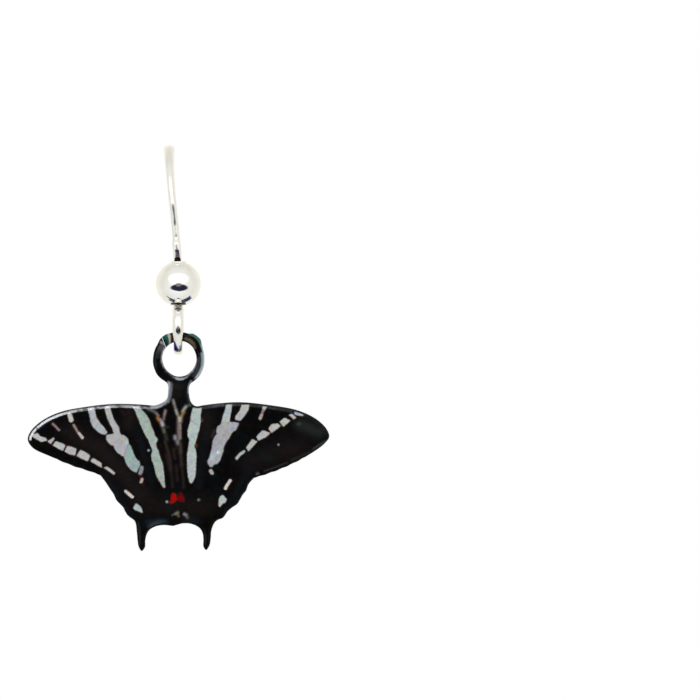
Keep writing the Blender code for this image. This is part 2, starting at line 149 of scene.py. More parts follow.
OUTLINE_STEP = 0.09        # fine mesh: one facet of the outline
FACE_STEP = 0.115          # grid on the plain parts of the face
FINE_STEP = 0.055          # grid along the printed marks' edges
BACK_STEP = 0.26
RIM_STEPS = (0.010, 0.030, 0.055, 0.085, 0.12, 0.16, 0.21, 0.27, 0.33, 0.39, 0.45, 0.52)

# ---- the printed marks -------------------------------------------------------
# They are laid out on their own fine grid: (across, down), 11.13 units to the
# millimetre, where (178.75, 358.9) is the ring's centre.
GRID = 11.13
GRID_ORIGIN = (178.75, 358.9)

# names of the inks
PALE, SILVER, MIST = (0.420, 0.495, 0.455), (0.510, 0.560, 0.550), (0.440, 0.445, 0.460)
ROSE, COOL, WARM = (0.480, 0.495, 0.500), (0.400, 0.485, 0.480), (0.58, 0.555, 0.52)
CREAM, DUSTY, LIGHT = (0.72, 0.66, 0.62), (0.30, 0.22, 0.21), (0.540, 0.535, 0.515)
RED, DARK_RED = (0.44, 0.0015, 0.0015), (0.165, 0.0015, 0.0015)
GREY = (0.16, 0.20, 0.20)

STRIPES = {   # long stripes: (down, left edge, right edge), colour
    "left_inner": (PALE, [
        (402.5, 130.5, 136.5), (405, 131.5, 138), (410, 134.5, 142), (415, 136.5, 146.5),
        (420, 138.5, 149.5), (425, 140.5, 150.5), (430, 142.5, 153), (435, 145, 154.5),
        (439, 148, 157.5), (443, 149, 155.5), (448, 151.5, 156.5), (450, 152, 158),
        (455, 150.7, 159), (460, 151.5, 161), (465, 153.5, 162.5), (470, 154.5, 163),
        (475, 156, 163.8), (480, 158.5, 164), (485, 161.5, 164.6), (487, 163, 164.5)]),
    "right_inner": (SILVER, [
        (402, 195.5, 201.5), (405, 193.5, 201.5), (410, 191.5, 201), (415, 190.5, 200),
        (420, 190, 200.3), (425, 188.5, 199.5), (430, 187.2, 198.5), (435, 187.2, 197),
        (438, 188.3, 196.3), (440, 189, 195.5), (443, 188.5, 194.5), (446, 188, 193.5),
        (448, 187.6, 195), (455, 186.6, 196), (462, 186.7, 195.6), (470, 187, 195.3),
        (475, 187.5, 194.8), (479, 188.4, 193.6), (482.5, 189.8, 191.6)]),
    "right_prong": (SILVER, [
        (401.5, 226.5, 232.5), (405, 225.5, 231.5), (410, 224.5, 230.8), (415, 222.5, 230),
        (420, 221.5, 229), (422, 221.5, 229)]),
}

PATCHES = {   # closed outlines, colour
    "left_tip_hook": ((0.56, 0.58, 0.57), [(31.5, 434.5), (35, 433.2), (37, 432.4), (39.6, 436), (45.5, 437.4),
                             (46.6, 440), (41, 441.4), (33, 437)]),
    "left_block_1": (ROSE, [(47, 441), (53, 437), (54, 438.2), (50.5, 443.5)]),
    "left_block_2": (LIGHT, [(52.3, 444.7), (55, 440.6), (60, 442.2), (65, 444.5), (62.5, 450.4), (57.5, 448)]),
    "left_block_3": (LIGHT, [(64, 451), (67, 445.4), (76, 448), (74.5, 455), (69, 453.4)]),
    "left_block_4": (LIGHT, [(76, 455.3), (80, 449.3), (85, 451.6), (89.5, 455), (87.5, 460.8), (81.5, 458.3)]),
    "left_block_5": (LIGHT, [(89.8, 460.6), (92.3, 457.4), (97, 460), (101, 462.8), (101.6, 467.4), (97, 464.8)]),
    "left_block_6": (LIGHT, [(103, 467.3), (106, 465.8), (110.4, 468.6), (114.6, 472.2), (113.4, 474.2),
                            (108, 470.2)]),
    "left_prong_outer": (ROSE, [(86.5, 407), (94, 407), (95, 413), (96.5, 418), (100, 423),
                                (104, 427.5), (106.8, 431.5), (105, 434), (101, 433.5),
                                (96.5, 430.5), (92.5, 426.5), (90, 421), (89.3, 415)]),
    "left_prong_inner": (ROSE, [(103.5, 404.5), (109, 404.5), (111, 412), (113, 418), (116, 423),
                                 (118.5, 426.5), (119.2, 431), (121, 435.5), (114, 435.5),
                                 (112, 428), (109.5, 423.5), (107, 418), (105, 411)]),
    "left_patch_upper": (ROSE, [(106, 434.5), (110, 434), (114, 433), (120, 434), (124, 435),
                                (127.5, 438), (128.3, 443), (127, 449), (125.5, 454), (124, 456),
                                (121, 455), (117, 452), (114, 448), (113, 445),
                                (110.5, 444.5), (107, 441), (105.5, 438)]),
    "left_patch_lower": ((0.355, 0.475, 0.450), [(128, 443), (130.5, 446), (132, 450), (134, 455), (136.5, 459),
                                (139, 461), (139.8, 464.5), (138, 468), (136.5, 471.5), (134, 471.5),
                                (130, 469), (127, 465), (124.5, 460), (123.3, 455.5), (125, 449)]),
    "right_prong_tip": (LIGHT, [(241.2, 404.3), (248.7, 404.3), (248.2, 408.6), (244.2, 415), (240, 420), (237.4, 420.2),
                               (234.6, 418.6), (235, 415.6), (239.4, 410.2)]),
    "right_patch": (MIST, [(221.5, 420), (228, 421.4), (238, 422), (238.2, 424), (235.5, 429.5),
                           (231.5, 432), (229, 437), (226, 441), (223, 446.5), (222.7, 451),
                           (221, 456), (219.5, 460), (216.5, 463.5), (213, 464), (212, 466.5),
                           (210, 466.5), (207.2, 463), (207, 460.5), (209, 457), (210, 452.5),
                           (211.5, 447), (212.5, 440), (214.5, 436), (216.4, 433.5),
                           (216, 429), (216.8, 426.2), (220, 424.2)]),
    "right_block_1": (WARM, [(288, 414.3), (291, 413.2), (296, 417), (293.5, 418.8)]),
    "right_block_2": (LIGHT, [(279, 421.4), (284, 417.3), (290, 420), (283, 426.2)]),
    "right_block_3": (LIGHT, [(268, 428), (271, 423.8), (277, 422.8), (280, 425.5), (275, 429.6), (271, 432.6)]),
    "right_block_4": (LIGHT, [(255.8, 436.3), (262, 429.6), (269.6, 432.3), (266, 436.2), (258, 440.2)]),
    "right_block_5": (LIGHT, [(245.8, 447), (251.5, 438.6), (257, 441), (252, 446.2), (248, 451)]),
    "hind_spot_left": (SILVER, [(132.8, 507.5), (135, 503), (137, 503.2), (140.8, 507), (142.4, 511.6),
                          (140.5, 512), (136.5, 510), (134, 509)]),
    "hind_spot_right": (SILVER, [(218.4, 499.5), (219.4, 496), (222.5, 494.4), (226.4, 499.2),
                               (224.8, 501.8), (221.6, 503.4), (219.8, 506.2), (218, 505.5), (218.3, 502)]),
    "red_left": (RED, [(170, 500.3), (171, 494), (173, 492.6), (175.2, 494), (176.8, 498.5),
                       (174.5, 501.2), (171.5, 502.7), (169.6, 502.5)]),
    "red_right": (DARK_RED, [(177.3, 497), (179.5, 492.3), (181.7, 492.5), (183.2, 497),
                             (184.3, 500.7), (179, 501), (177.3, 499.5)]),
}

DASHES = {    # strokes: colour, width, points
    "left_dash_tip": (DUSTY, 2.2, [(52.5, 423.4), (55, 425.8), (58.5, 429.4)]),
    "left_dash_a": ((0.62, 0.60, 0.57), 4.6, [(69.3, 414.6), (70.7, 419.4)]),
    "left_dash_b": ((0.34, 0.25, 0.22), 2.3, [(73.2, 424.6), (75.2, 428), (77.2, 431.2)]),
    "left_dash_c": ((0.56, 0.50, 0.49), 2.8, [(78.5, 432.8), (81.8, 437)]),
    "right_block_0": ((0.46, 0.48, 0.56), 3.2, [(295.5, 412.8), (301.5, 413.8)]),
    "right_block_6": (ROSE, 2.8, [(236.3, 457.8), (239, 454.5), (243.3, 451)]),
    "right_dash_a": (ROSE, 3.4, [(265.2, 404), (263.5, 408)]),
    "right_dash_b": (DUSTY, 2.2, [(263.2, 409), (261.2, 413.5)]),
    "right_dash_c": ((0.44, 0.35, 0.33), 3.0, [(261, 414.5), (259.6, 418)]),
    "hind_dash_left": (CREAM, 3.0, [(125.3, 490.8), (128.6, 493.6), (131.8, 496.3)]),
    "hind_dash_right": (CREAM, 2.9, [(229.7, 480.0), (226.8, 484.2), (225, 487.8)]),
    "left_speck": ((0.52, 0.42, 0.39), 2.6, [(141.6, 478.6), (140.6, 481.4)]),
    "right_speck": ((0.43, 0.39, 0.41), 3.4, [(210.3, 470.4), (211.5, 472.4)]),
    "left_tail_of_patch": ((0.27, 0.30, 0.30), 3.6, [(141.2, 467.0), (140.6, 470.5), (139.8, 472.6)]),
}

DOTS = {      # colour, radius, centre
    "pin_left": ((0.26, 0.37, 0.37), 1.15, (148.2, 449.8)),
    "pin_low_left": ((0.30, 0.33, 0.33), 1.45, (166.4, 501.2)),
    "pin_low_right": ((0.11, 0.15, 0.14), 1.35, (198.3, 499.1)),
    "tip_speck": ((0.24, 0.30, 0.30), 1.2, (278, 444.2)),
    "margin_speck": ((0.11, 0.13, 0.13), 1.7, (257.3, 473.8)),
}

HALOS = [     # deep black round the pins and red spots: centre, radius
    ((148.2, 449.8), 4.0), ((166.3, 501), 4.4), ((198, 499), 5.0),
    ((183.5, 513.5), 6.0), ((173, 516.5), 5.0),
]

# soft lines and clouds of thin colour, among them painted highlights, sheens and reflections near the rims: colour,
# strength, width, points
WASHES = [
    # right arm of the V on the body, from the neck down to the middle line
    ((0.36, 0.345, 0.32), 0.95, 2.1, [(172.6, 399.4), (173.6, 403)]),
    ((0.30, 0.24, 0.23), 0.9, 2.0, [(174, 404.6), (175.2, 408.4)]),
    ((0.42, 0.42, 0.37), 0.95, 2.2, [(175.6, 409.8), (176.8, 413.4)]),
    ((0.28, 0.25, 0.22), 0.9, 1.8, [(177.2, 414.4), (178.2, 417)]),
    # the other arm: grey, white, ochre
    ((0.105, 0.125, 0.095), 0.8, 2.2, [(189.6, 404.4), (186.6, 405.2)]),
    ((0.42, 0.44, 0.40), 0.95, 2.3, [(185.4, 406.2), (183.4, 408.8), (182.2, 411)]),
    ((0.29, 0.19, 0.065), 0.95, 2.5, [(183.4, 411.4), (181.8, 414), (180.7, 416.6)]),
    ((0.56, 0.50, 0.43), 0.95, 3.4, [(179.3, 417.8), (179.3, 420.4)]),
    # left arm: grey, orange, a white spot, and its pink line
    ((0.15, 0.145, 0.13), 0.85, 2.5, [(147.6, 408.3), (150.6, 409.4), (153.4, 410.8), (156, 413)]),
    ((0.26, 0.25, 0.23), 0.85, 1.8, [(156.4, 413.4), (158, 415.2)]),
    ((0.42, 0.19, 0.045), 0.95, 2.6, [(157.2, 417.2), (158.6, 419.6)]),
    ((0.40, 0.27, 0.25), 0.9, 2.0, [(160, 418.8), (161, 420.8)]),
    ((0.36, 0.26, 0.28), 0.9, 2.1, [(164.9, 410.2), (164.0, 414)]),
    ((0.24, 0.18, 0.18), 0.85, 2.0, [(163.8, 414.6), (163.2, 419)]),
    ((0.52, 0.50, 0.50), 0.95, 3.0, [(161.4, 422.2), (162.2, 424.6)]),
    ((0.155, 0.145, 0.10), 0.85, 2.6, [(162.8, 427.8), (163.8, 431.6)]),
    ((0.034, 0.040, 0.030), 0.8, 3.4, [(165.2, 434.8), (166, 438.6)]),
    ((0.030, 0.034, 0.026), 0.7, 2.0, [(163.4, 427.2), (168, 426.4)]),
    ((0.34, 0.34, 0.43), 0.9, 2.8, [(174.6, 436), (174.8, 438)]),
    ((0.22, 0.23, 0.23), 0.9, 3.2, [(177.0, 440.6), (177.4, 442.8)]),
    # middle line
    ((0.25, 0.185, 0.185), 0.9, 3.1, [(178.4, 422.4), (178.2, 430), (178.6, 438)]),
    ((0.40, 0.32, 0.27), 0.85, 1.5, [(179.8, 424), (179.9, 429)]),
    ((0.36, 0.27, 0.21), 0.8, 1.4, [(180, 431), (180.1, 438)]),
    ((0.075, 0.050, 0.046), 0.8, 3.0, [(179.8, 443), (180.2, 452)]),
    ((0.050, 0.030, 0.027), 0.75, 2.9, [(180.1, 451), (180.6, 457), (181.2, 465)]),
    ((0.032, 0.008, 0.008), 0.8, 2.4, [(176, 445.8), (176.2, 448)]),
    ((0.040, 0.026, 0.022), 0.75, 2.6, [(164.6, 441), (166.4, 447), (168.4, 454), (169.8, 461), (170.6, 469)]),
    ((0.026, 0.016, 0.014), 0.7, 3.4, [(166, 455), (168.4, 464), (169.5, 470)]),
    ((0.024, 0.015, 0.014), 0.7, 2.8, [(170.6, 469), (171.2, 476), (172, 486)]),
    ((0.026, 0.016, 0.014), 0.7, 3.0, [(173, 449), (174.4, 458)]),
    ((0.022, 0.014, 0.013), 0.7, 3.0, [(175.4, 465), (177, 480)]),
    ((0.028, 0.017, 0.015), 0.7, 2.6, [(181.2, 464), (182.0, 473), (182.8, 480), (183, 487)]),
    # painted highlights: the pale outer edge and the dull inner bevel of the ring's right side
    ((0.31, 0.375, 0.43), 0.9, 2.2, [(201.3, 353), (201.9, 359), (201.3, 366), (198.6, 372.4), (195.2, 378)]),
    ((0.055, 0.060, 0.065), 0.8, 1.5, [(192.6, 375.6), (196, 371), (198.2, 364.4), (198.6, 357)]),
    # painted sheen: a faint light line along the right wing's lower edge
    ((0.060, 0.070, 0.074), 0.75, 1.7, [(326.6, 440.4), (320, 443.6), (312.4, 448.6)]),
    ((0.040, 0.034, 0.035), 0.75, 1.9, [(309, 451.4), (298, 456.6), (291, 459.4)]),
    ((0.048, 0.040, 0.042), 0.75, 1.8, [(286.4, 462), (274, 467), (264, 470.4)]),
    # rusty specks beside the right stripe
    ((0.33, 0.15, 0.035), 0.85, 1.9, [(201.6, 419.2), (201.5, 420.4)]),
    ((0.20, 0.075, 0.022), 0.70, 2.2, [(195.7, 444.6), (195.4, 446.0)]),
    ((0.17, 0.17, 0.15), 0.9, 1.6, [(171.6, 514.6), (174.4, 513.8)]),
    ((0.40, 0.40, 0.30), 0.95, 2.3, [(175.2, 513.2), (177.4, 511.9)]),
    ((0.40, 0.21, 0.10), 0.95, 1.9, [(177.6, 514.4), (178.0, 515.4)]),
    ((0.50, 0.41, 0.46), 0.95, 2.7, [(183.7, 513.4), (185.6, 514.4)]),
    ((0.22, 0.20, 0.13), 0.95, 2.4, [(186.4, 516.2), (186.9, 517.4)]),
    ((0.05, 0.05, 0.06), 0.8, 2.4, [(214, 430), (211.5, 436)]),
    # painted reflection: a dull grey-teal band inside the left wing's tip
    ((0.075, 0.085, 0.090), 0.6, 3.0, [(38, 427), (44.5, 421.5), (52, 417.5)]),
    # painted highlights: broken grey bits along the upper rims of both wings
    ((0.085, 0.105, 0.115), 0.7, 2.0, [(120, 405.4), (124, 405.2)]),
    ((0.075, 0.095, 0.105), 0.6, 2.4, [(126.5, 406.4), (129, 406.6)]),
    ((0.070, 0.090, 0.100), 0.6, 2.0, [(139.6, 407), (145, 407.6)]),
    ((0.070, 0.090, 0.100), 0.6, 2.2, [(203.6, 404.6), (210, 404.4)]),
    ((0.085, 0.100, 0.110), 0.6, 2.0, [(213, 404.6), (218, 404.2), (223, 404)]),
    # painted reflections: dark blue glow along the lower edges of the foot
    ((0.008, 0.016, 0.024), 0.75, 6.0, [(148, 522), (156, 520.6), (166, 521.5)]),
    ((0.007, 0.014, 0.024), 0.7, 5.0, [(184, 520), (190, 520), (196, 521)]),
    # painted sheen on the right wing's tip
    ((0.022, 0.026, 0.024), 0.7, 12.0, [(300, 424), (318, 432)]),
    # a dull green speck
    ((0.060, 0.062, 0.045), 0.7, 2.6, [(297.8, 423.6), (299.4, 422.8)]),
    # painted reflection: blue glow along the foot's lower left edge
    ((0.026, 0.044, 0.062), 0.8, 3.0, [(148.6, 526), (152, 522.8), (158, 520.8), (164, 520.6)]),
    ((0.060, 0.085, 0.095), 0.6, 1.6, [(151, 525.2), (155, 523), (160, 522.4)]),
    # painted highlight along the right wing tip's lower edge
    ((0.030, 0.034, 0.036), 0.7, 3.0, [(319, 445), (325, 441)]),
    # small dark red and brown specks
    ((0.055, 0.008, 0.006), 0.8, 2.0, [(143, 483), (143, 485)]),
    ((0.030, 0.010, 0.006), 0.7, 2.6, [(121, 410), (124, 414)]),
    # broad faint brown and blue clouds in the black
    ((0.0105, 0.0075, 0.0070), 0.8, 20.0, [(70, 432), (100, 448), (120, 470), (140, 495)]),
    ((0.0110, 0.0075, 0.0070), 0.8, 14.0, [(130, 412), (128, 424)]),
    ((0.0100, 0.0072, 0.0068), 0.8, 16.0, [(205, 416), (207, 434)]),
    ((0.0085, 0.0062, 0.0060), 0.8, 22.0, [(250, 462), (275, 452), (300, 446)]),
    ((0.0085, 0.0060, 0.0055), 0.8, 16.0, [(176, 392), (178, 372)]),
    ((0.0085, 0.0062, 0.0060), 0.7, 22.0, [(150, 505), (205, 505)]),
    ((0.0035, 0.0055, 0.0070), 0.8, 10.0, [(105, 478), (120, 500), (128, 515)]),
    ((0.0035, 0.0055, 0.0070), 0.8, 8.0, [(248, 470), (238, 488), (225, 515)]),
    ((0.0035, 0.0055, 0.0070), 0.7, 8.0, [(137, 430), (143, 455), (150, 480)]),
    ((0.0035, 0.0055, 0.0070), 0.7, 8.0, [(203, 440), (201, 465), (198, 485)]),
]

# seams and shades that run over the pale ink: factor, width, points
SEAMS = [
    (0.72, 1.5, [(128, 443.5), (125.4, 449), (123.8, 456)]),
    (0.70, 1.4, [(190.2, 420), (197, 424)]),
    (0.80, 1.4, [(118.5, 446), (122.5, 440), (127, 437.5)]),
    (0.82, 1.6, [(130.5, 468), (134.5, 461), (138, 459.5)]),
    (0.80, 1.5, [(217, 444), (221, 440), (224, 434)]),
    (0.84, 1.6, [(228, 422.5), (226, 430), (229, 436)]),
    (0.85, 1.6, [(142, 424), (149, 419)]),
    (0.84, 1.6, [(152.5, 457), (159.5, 462)]),
    (0.86, 1.8, [(187.5, 437.5), (196, 434)]),
    (0.85, 1.6, [(188, 465), (195, 458)]),
]

# painted highlights: glints lighter than the ink, at stripe tops under the rim and on the right patch: colour,
# radius, centre
GLINTS = [
    ((0.62, 0.64, 0.68), 2.4, (198, 406.5)),
    ((0.92, 0.92, 0.86), 1.7, (217.5, 452)),
    ((0.50, 0.62, 0.72), 3.2, (211.6, 456.2)),
    ((0.60, 0.62, 0.66), 2.2, (90.5, 408.6)),
    ((0.58, 0.60, 0.64), 2.0, (134, 405.5)),
]

# painted highlights and reflections on the ring's and neck's broken edges, and teal, bronze and brown tones on the
# ring: colour, strength, width, points
RING_HIGHLIGHTS_AND_TONES = [
    # painted highlight along the ring's outer right edge
    ((0.50, 0.535, 0.585), 0.95, 3.4, [(201.6, 345), (203.4, 351), (204, 358), (203.4, 365), (200.8, 371.5), (196.4, 377)]),
    ((0.40, 0.41, 0.44), 0.8, 2.2, [(199.6, 341.6), (201.8, 346)]),
    # a teal band on the ring's upper right, with a painted pale highlight along its outer edge
    ((0.045, 0.150, 0.100), 1.0, 4.2, [(189.5, 333.2), (194, 334.6), (197.8, 338.2), (200.6, 342.6)]),
    ((0.25, 0.30, 0.27), 0.7, 1.2, [(190, 332), (195, 333), (199.6, 337.4), (202.2, 342.2)]),
    # a bronze patch inside it
    ((0.105, 0.083, 0.044), 1.0, 5.0, [(185.5, 338.4), (189.5, 340), (192.4, 343), (193.6, 347)]),
    ((0.180, 0.150, 0.090), 0.8, 2.2, [(185, 338.2), (189, 340), (191.6, 343)]),
    # painted highlight on the end of the upper arm, fading to black down the arm
    ((0.34, 0.34, 0.34), 0.85, 3.4, [(160.8, 341.8), (164.0, 344)]),
    ((0.15, 0.15, 0.155), 0.8, 4.8, [(162, 346), (160.4, 349)]),
    ((0.070, 0.070, 0.074), 0.8, 5.2, [(160.6, 346), (158.8, 351)]),
    ((0.026, 0.026, 0.028), 0.7, 5.4, [(158.4, 351.6), (157.4, 356)]),
    # painted highlight down the ring's inner left edge
    ((0.45, 0.45, 0.465), 0.9, 3.2, [(164.6, 347.6), (162.6, 351.6), (161.7, 356), (161.8, 361)]),
    ((0.34, 0.34, 0.355), 0.85, 2.9, [(161.8, 361), (163.4, 366)]),
    ((0.22, 0.22, 0.235), 0.8, 2.4, [(163.4, 366), (166.8, 371)]),
    ((0.12, 0.12, 0.13), 0.7, 2.0, [(166.8, 371), (171, 375)]),
    # painted highlights on the ring's inner right and inner bottom edges
    ((0.34, 0.33, 0.41), 0.9, 2.9, [(195.6, 359), (194.6, 365), (191.4, 370.8)]),
    ((0.25, 0.25, 0.31), 0.85, 2.3, [(191.4, 370.8), (187.2, 374.8)]),
    ((0.20, 0.24, 0.28), 0.8, 1.8, [(172.6, 376.4), (174.8, 377.2)]),
    ((0.37, 0.44, 0.50), 1.0, 3.0, [(176, 377.9), (178.8, 378.6), (182, 378.3)]),
    ((0.26, 0.30, 0.35), 0.9, 2.2, [(183.4, 377.9), (186.2, 376.4)]),
    # painted highlights on the neck's left edge and the left shoulder's fillet
    ((0.130, 0.145, 0.170), 0.85, 6.4, [(169.6, 384), (169.2, 390), (168.0, 396), (166.6, 400)]),
    ((0.42, 0.45, 0.49), 0.95, 3.6, [(168.2, 382.4), (167.6, 390), (166.6, 396), (165.0, 400.8)]),
    ((0.34, 0.37, 0.41), 0.85, 3.6, [(151, 406.6), (156, 406.2), (160, 405.0), (163.2, 402.6), (165.4, 399.6)]),
    # painted reflections on the neck's right edge
    ((0.055, 0.075, 0.080), 0.7, 3.0, [(188.0, 395), (189.8, 401.6)]),
    ((0.26, 0.27, 0.34), 0.85, 3.0, [(190.4, 381), (188.4, 386), (188.0, 392)]),
    # brown and teal by the sawn end
    ((0.034, 0.020, 0.009), 1.0, 4.0, [(171.6, 336), (172.2, 339.4)]),
    ((0.020, 0.100, 0.070), 1.0, 1.6, [(170.6, 332.6), (174.2, 331.4)]),
]
# the sawn, aslant end of the ring's upper arm, and a painted highlight as a thin bright line along its edge
END_FACE = ((0.008, 0.115, 0.092), [(161.6, 336.2), (166.6, 333.6), (168.5, 341.4), (167.8, 346.6), (165.4, 347.8)])
END_LINES = [
    ((0.70, 0.63, 0.53), 0.9, 2.2, [(168.0, 333.0), (169.2, 338), (169.4, 342.6), (168.8, 345.6)]),
]


def smoothstep(t):
    t = min(1.0, max(0.0, t))
    return t * t * (3.0 - 2.0 * t)


def smooth(t):
    """smoothstep for arrays"""
    t = np.clip(t, 0.0, 1.0)
    return t * t * (3.0 - 2.0 * t)


# ---- outline ----------------------------------------------------------------
def spline(points, step):
    """Points about one step apart along a centripetal curve through points."""
    pts = [np.array(p, float) for p in points]
    if len(pts) == 2:
        n = max(1, int(round(np.linalg.norm(pts[1] - pts[0]) / step)))
        return [pts[0] + (pts[1] - pts[0]) * k / n for k in range(n + 1)]
    ext = [2 * pts[0] - pts[1]] + pts + [2 * pts[-1] - pts[-2]]
    out = []
    for i in range(1, len(ext) - 2):
        p0, p1, p2, p3 = ext[i - 1:i + 3]
        t1 = math.sqrt(np.linalg.norm(p1 - p0))
        t2 = t1 + math.sqrt(np.linalg.norm(p2 - p1))
        t3 = t2 + math.sqrt(np.linalg.norm(p3 - p2))
        n = max(1, int(round(np.linalg.norm(p2 - p1) / step)))
        for k in range(n):
            t = t1 + (t2 - t1) * k / n
            a1 = p0 * (t1 - t) / t1 + p1 * t / t1
            a2 = p1 * (t2 - t) / (t2 - t1) + p2 * (t - t1) / (t2 - t1)
            a3 = p2 * (t3 - t) / (t3 - t2) + p3 * (t - t2) / (t3 - t2)
            b1 = a1 * (t2 - t) / t2 + a2 * t / t2
            b2 = a2 * (t3 - t) / (t3 - t1) + a3 * (t - t1) / (t3 - t1)
            out.append(b1 * (t2 - t) / (t2 - t1) + b2 * (t - t1) / (t2 - t1))
    out.append(pts[-1])
    return out


def wing_side(side, step):
    """The outline of one wing from the neck to the foot, with its scallops."""
    out, run, run_names = [], [], []
    for name, left, right in LANDMARKS:
        u, z = left if side < 0 else right
        run.append((side * u, z))
        run_names.append(name)
        if (name.endswith("*") and len(run) > 1) or name == LANDMARKS[-1][0]:
            piece = spline(run, step)
            if sum(n in SCALLOPED for n in run_names) >= 2:
                piece = scalloped(piece, run, run_names, side)
            out += piece if not out else piece[1:]
            run, run_names = [run[-1]], [run_names[-1]]
    return out


def scalloped(piece, run, names, side):
    """Waves along the stretch of a curve that lies on the outer margins."""
    marks = [np.array(p) for p, n in zip(run, names) if n in SCALLOPED]
    start = min(range(len(piece)), key=lambda i: np.linalg.norm(piece[i] - marks[0]))
    stop = min(range(len(piece)), key=lambda i: np.linalg.norm(piece[i] - marks[-1]))
    length = sum(np.linalg.norm(piece[i + 1] - piece[i]) for i in range(start, stop))
    waves = max(1, round(length / SCALLOP_LENGTH))
    out, s = [p.copy() for p in piece], 0.0
    for i in range(start + 1, stop):
        s += np.linalg.norm(piece[i] - piece[i - 1])
        along = piece[i + 1] - piece[i - 1]
        along /= np.linalg.norm(along)
        outward = np.array((along[1], -along[0])) * (1 if side > 0 else -1)
        ease = smoothstep(min(s, length - s) / (0.5 * SCALLOP_LENGTH))
        depth = SCALLOP_DEPTH * ease * math.cos(2 * math.pi * waves * s / length)
        out[i] = piece[i] - outward * depth
    return out


def ring_radii(deg):
    """The ring's outer and inner radius at an angle, eased between the rows."""
    deg = deg % 360.0
    rows = RING_RADII + [(360 + RING_RADII[0][0],) + RING_RADII[0][1:]]
    for (d1, o1, i1), (d2, o2, i2) in zip(rows, rows[1:]):
        if d1 <= deg <= d2:
            t = smoothstep((deg - d1) / (d2 - d1))
            return o1 + (o2 - o1) * t, i1 + (i2 - i1) * t
    return RING_RADII[0][1:]


def ring_arc(which, start_deg, stop_deg, step):
    """Points along the ring's outer (0) or inner (1) side."""
    n = max(2, int(round(abs(math.radians(stop_deg - start_deg)) * 1.9 / step)))
    out = []
    for k in range(n + 1):
        deg = start_deg + (stop_deg - start_deg) * k / n
        r, a = ring_radii(deg)[which], math.radians(deg)
        out.append(np.array((r * math.cos(a), r * math.sin(a))))
    return out


def angle_of(p):
    return math.degrees(math.atan2(p[1], p[0]))


def charm_loop(step):
    """The outline of plate, neck and cut ring as one closed loop,
    anticlockwise, and for each point whether it lies on the ring's sawn ends."""
    left = wing_side(-1, step)
    right = wing_side(1, step)
    for side in (left, right):
        while np.linalg.norm(side[0]) < ring_radii(angle_of(side[0]))[0] + 0.3 * step:
            side.pop(0)
    foot = spline([left[-1], right[-1]], step)[1:-1]
    gap_out = math.degrees(0.5 * RING_CUT_WIDTH / 2.5)
    gap_in = math.degrees(0.5 * RING_CUT_WIDTH / 1.6)
    foot_deg = angle_of(right[0]) + 1.2
    foot_left = angle_of(left[0]) % 360.0 - 1.2
    outer_a = ring_arc(0, foot_deg, RING_CUT_OUTER_DEG - gap_out, step)
    inner = ring_arc(1, RING_CUT_INNER_DEG - gap_in, RING_CUT_INNER_DEG + gap_in - 360.0, step)
    outer_b = ring_arc(0, RING_CUT_OUTER_DEG + gap_out, foot_left, step)
    cut_a = spline([outer_a[-1], inner[0]], step * 0.7)[1:-1]
    cut_b = spline([inner[-1], outer_b[0]], step * 0.7)[1:-1]
    parts = [(left, 0), (foot, 0), (right[::-1], 0), (outer_a, 0), (cut_a, 1),
             (inner, 0), (cut_b, 1), (outer_b, 0)]
    loop, cut = [], []
    for pts, flag in parts:
        loop += pts
        cut += [flag] * len(pts)
    loop, cut = np.array(loop), np.array(cut, bool)
    # small fillets where the neck runs into the ring and into the wings
    corners = [left[0], right[0]]
    for name, l, r in LANDMARKS:
        if name in ("shoulder*",):
            corners += [np.array((-l[0], l[1])), np.array((r[0], r[1]))]
    near = np.zeros(len(loop))
    for c in corners:
        near = np.maximum(near, 1.0 - np.linalg.norm(loop - c, axis=1) / 0.42)
    near = np.clip(near, 0, 1)[:, None]
    near[cut] = 0
    for _ in range(14):
        mid = 0.5 * (np.roll(loop, 1, axis=0) + np.roll(loop, -1, axis=0))
        loop = loop + (mid - loop) * 0.6 * near
    return loop, cut


def segment_distance(points, a, b):
    d = b - a
    t = np.clip(((points - a) @ d) / max(1e-12, d @ d), 0.0, 1.0)[:, None]
    return np.linalg.norm(points - (a + t * d), axis=1)


def polyline_distance(points, line, closed):
    best = np.full(len(points), 1e9)
    n = len(line)
    for k in range(n if closed else n - 1):
        best = np.minimum(best, segment_distance(points, line[k], line[(k + 1) % n]))
    return best


def edge_distances(points, loop, cut):
    """Distance to the rim proper, and distance to the ring's sawn ends."""
    rim = np.full(len(points), 1e9)
    end = np.full(len(points), 1e9)
    for k in range(len(loop)):
        m = (k + 1) % len(loop)
        d = segment_distance(points, loop[k], loop[m])
        if cut[k] or cut[m]:
            end = np.minimum(end, d)
        else:
            rim = np.minimum(rim, d)
    return rim, end


def inside(points, loop):
    x, z = points[:, 0], points[:, 1]
    hit = np.zeros(len(points), bool)
    for (x1, z1), (x2, z2) in zip(loop, np.roll(loop, -1, axis=0)):
        if z1 == z2:
            continue
        cross = ((z1 > z) != (z2 > z)) & (x < (x2 - x1) * (z - z1) / (z2 - z1) + x1)
        hit ^= cross
    return hit


def inset_points(loop, cut, distance):
    ahead = np.roll(loop, -1, axis=0) - loop
    behind = loop - np.roll(loop, 1, axis=0)
    ahead /= np.linalg.norm(ahead, axis=1)[:, None]
    behind /= np.linalg.norm(behind, axis=1)[:, None]
    along = ahead + behind
    along /= np.linalg.norm(along, axis=1)[:, None]
    inward = np.stack((-along[:, 1], along[:, 0]), axis=1)
    moved = loop + inward * distance
    rim, end = edge_distances(moved, loop, cut)
    keep = np.minimum(rim, end) > 0.93 * distance
    moved = moved[keep]
    out, last = [], None
    spacing = max(0.035, 0.45 * OUTLINE_STEP, 0.5 * distance ** 0.5 * OUTLINE_STEP)
    for p in moved:
        if last is None or np.linalg.norm(p - last) > spacing:
            out.append(p)
            last = p
    return np.array(out)


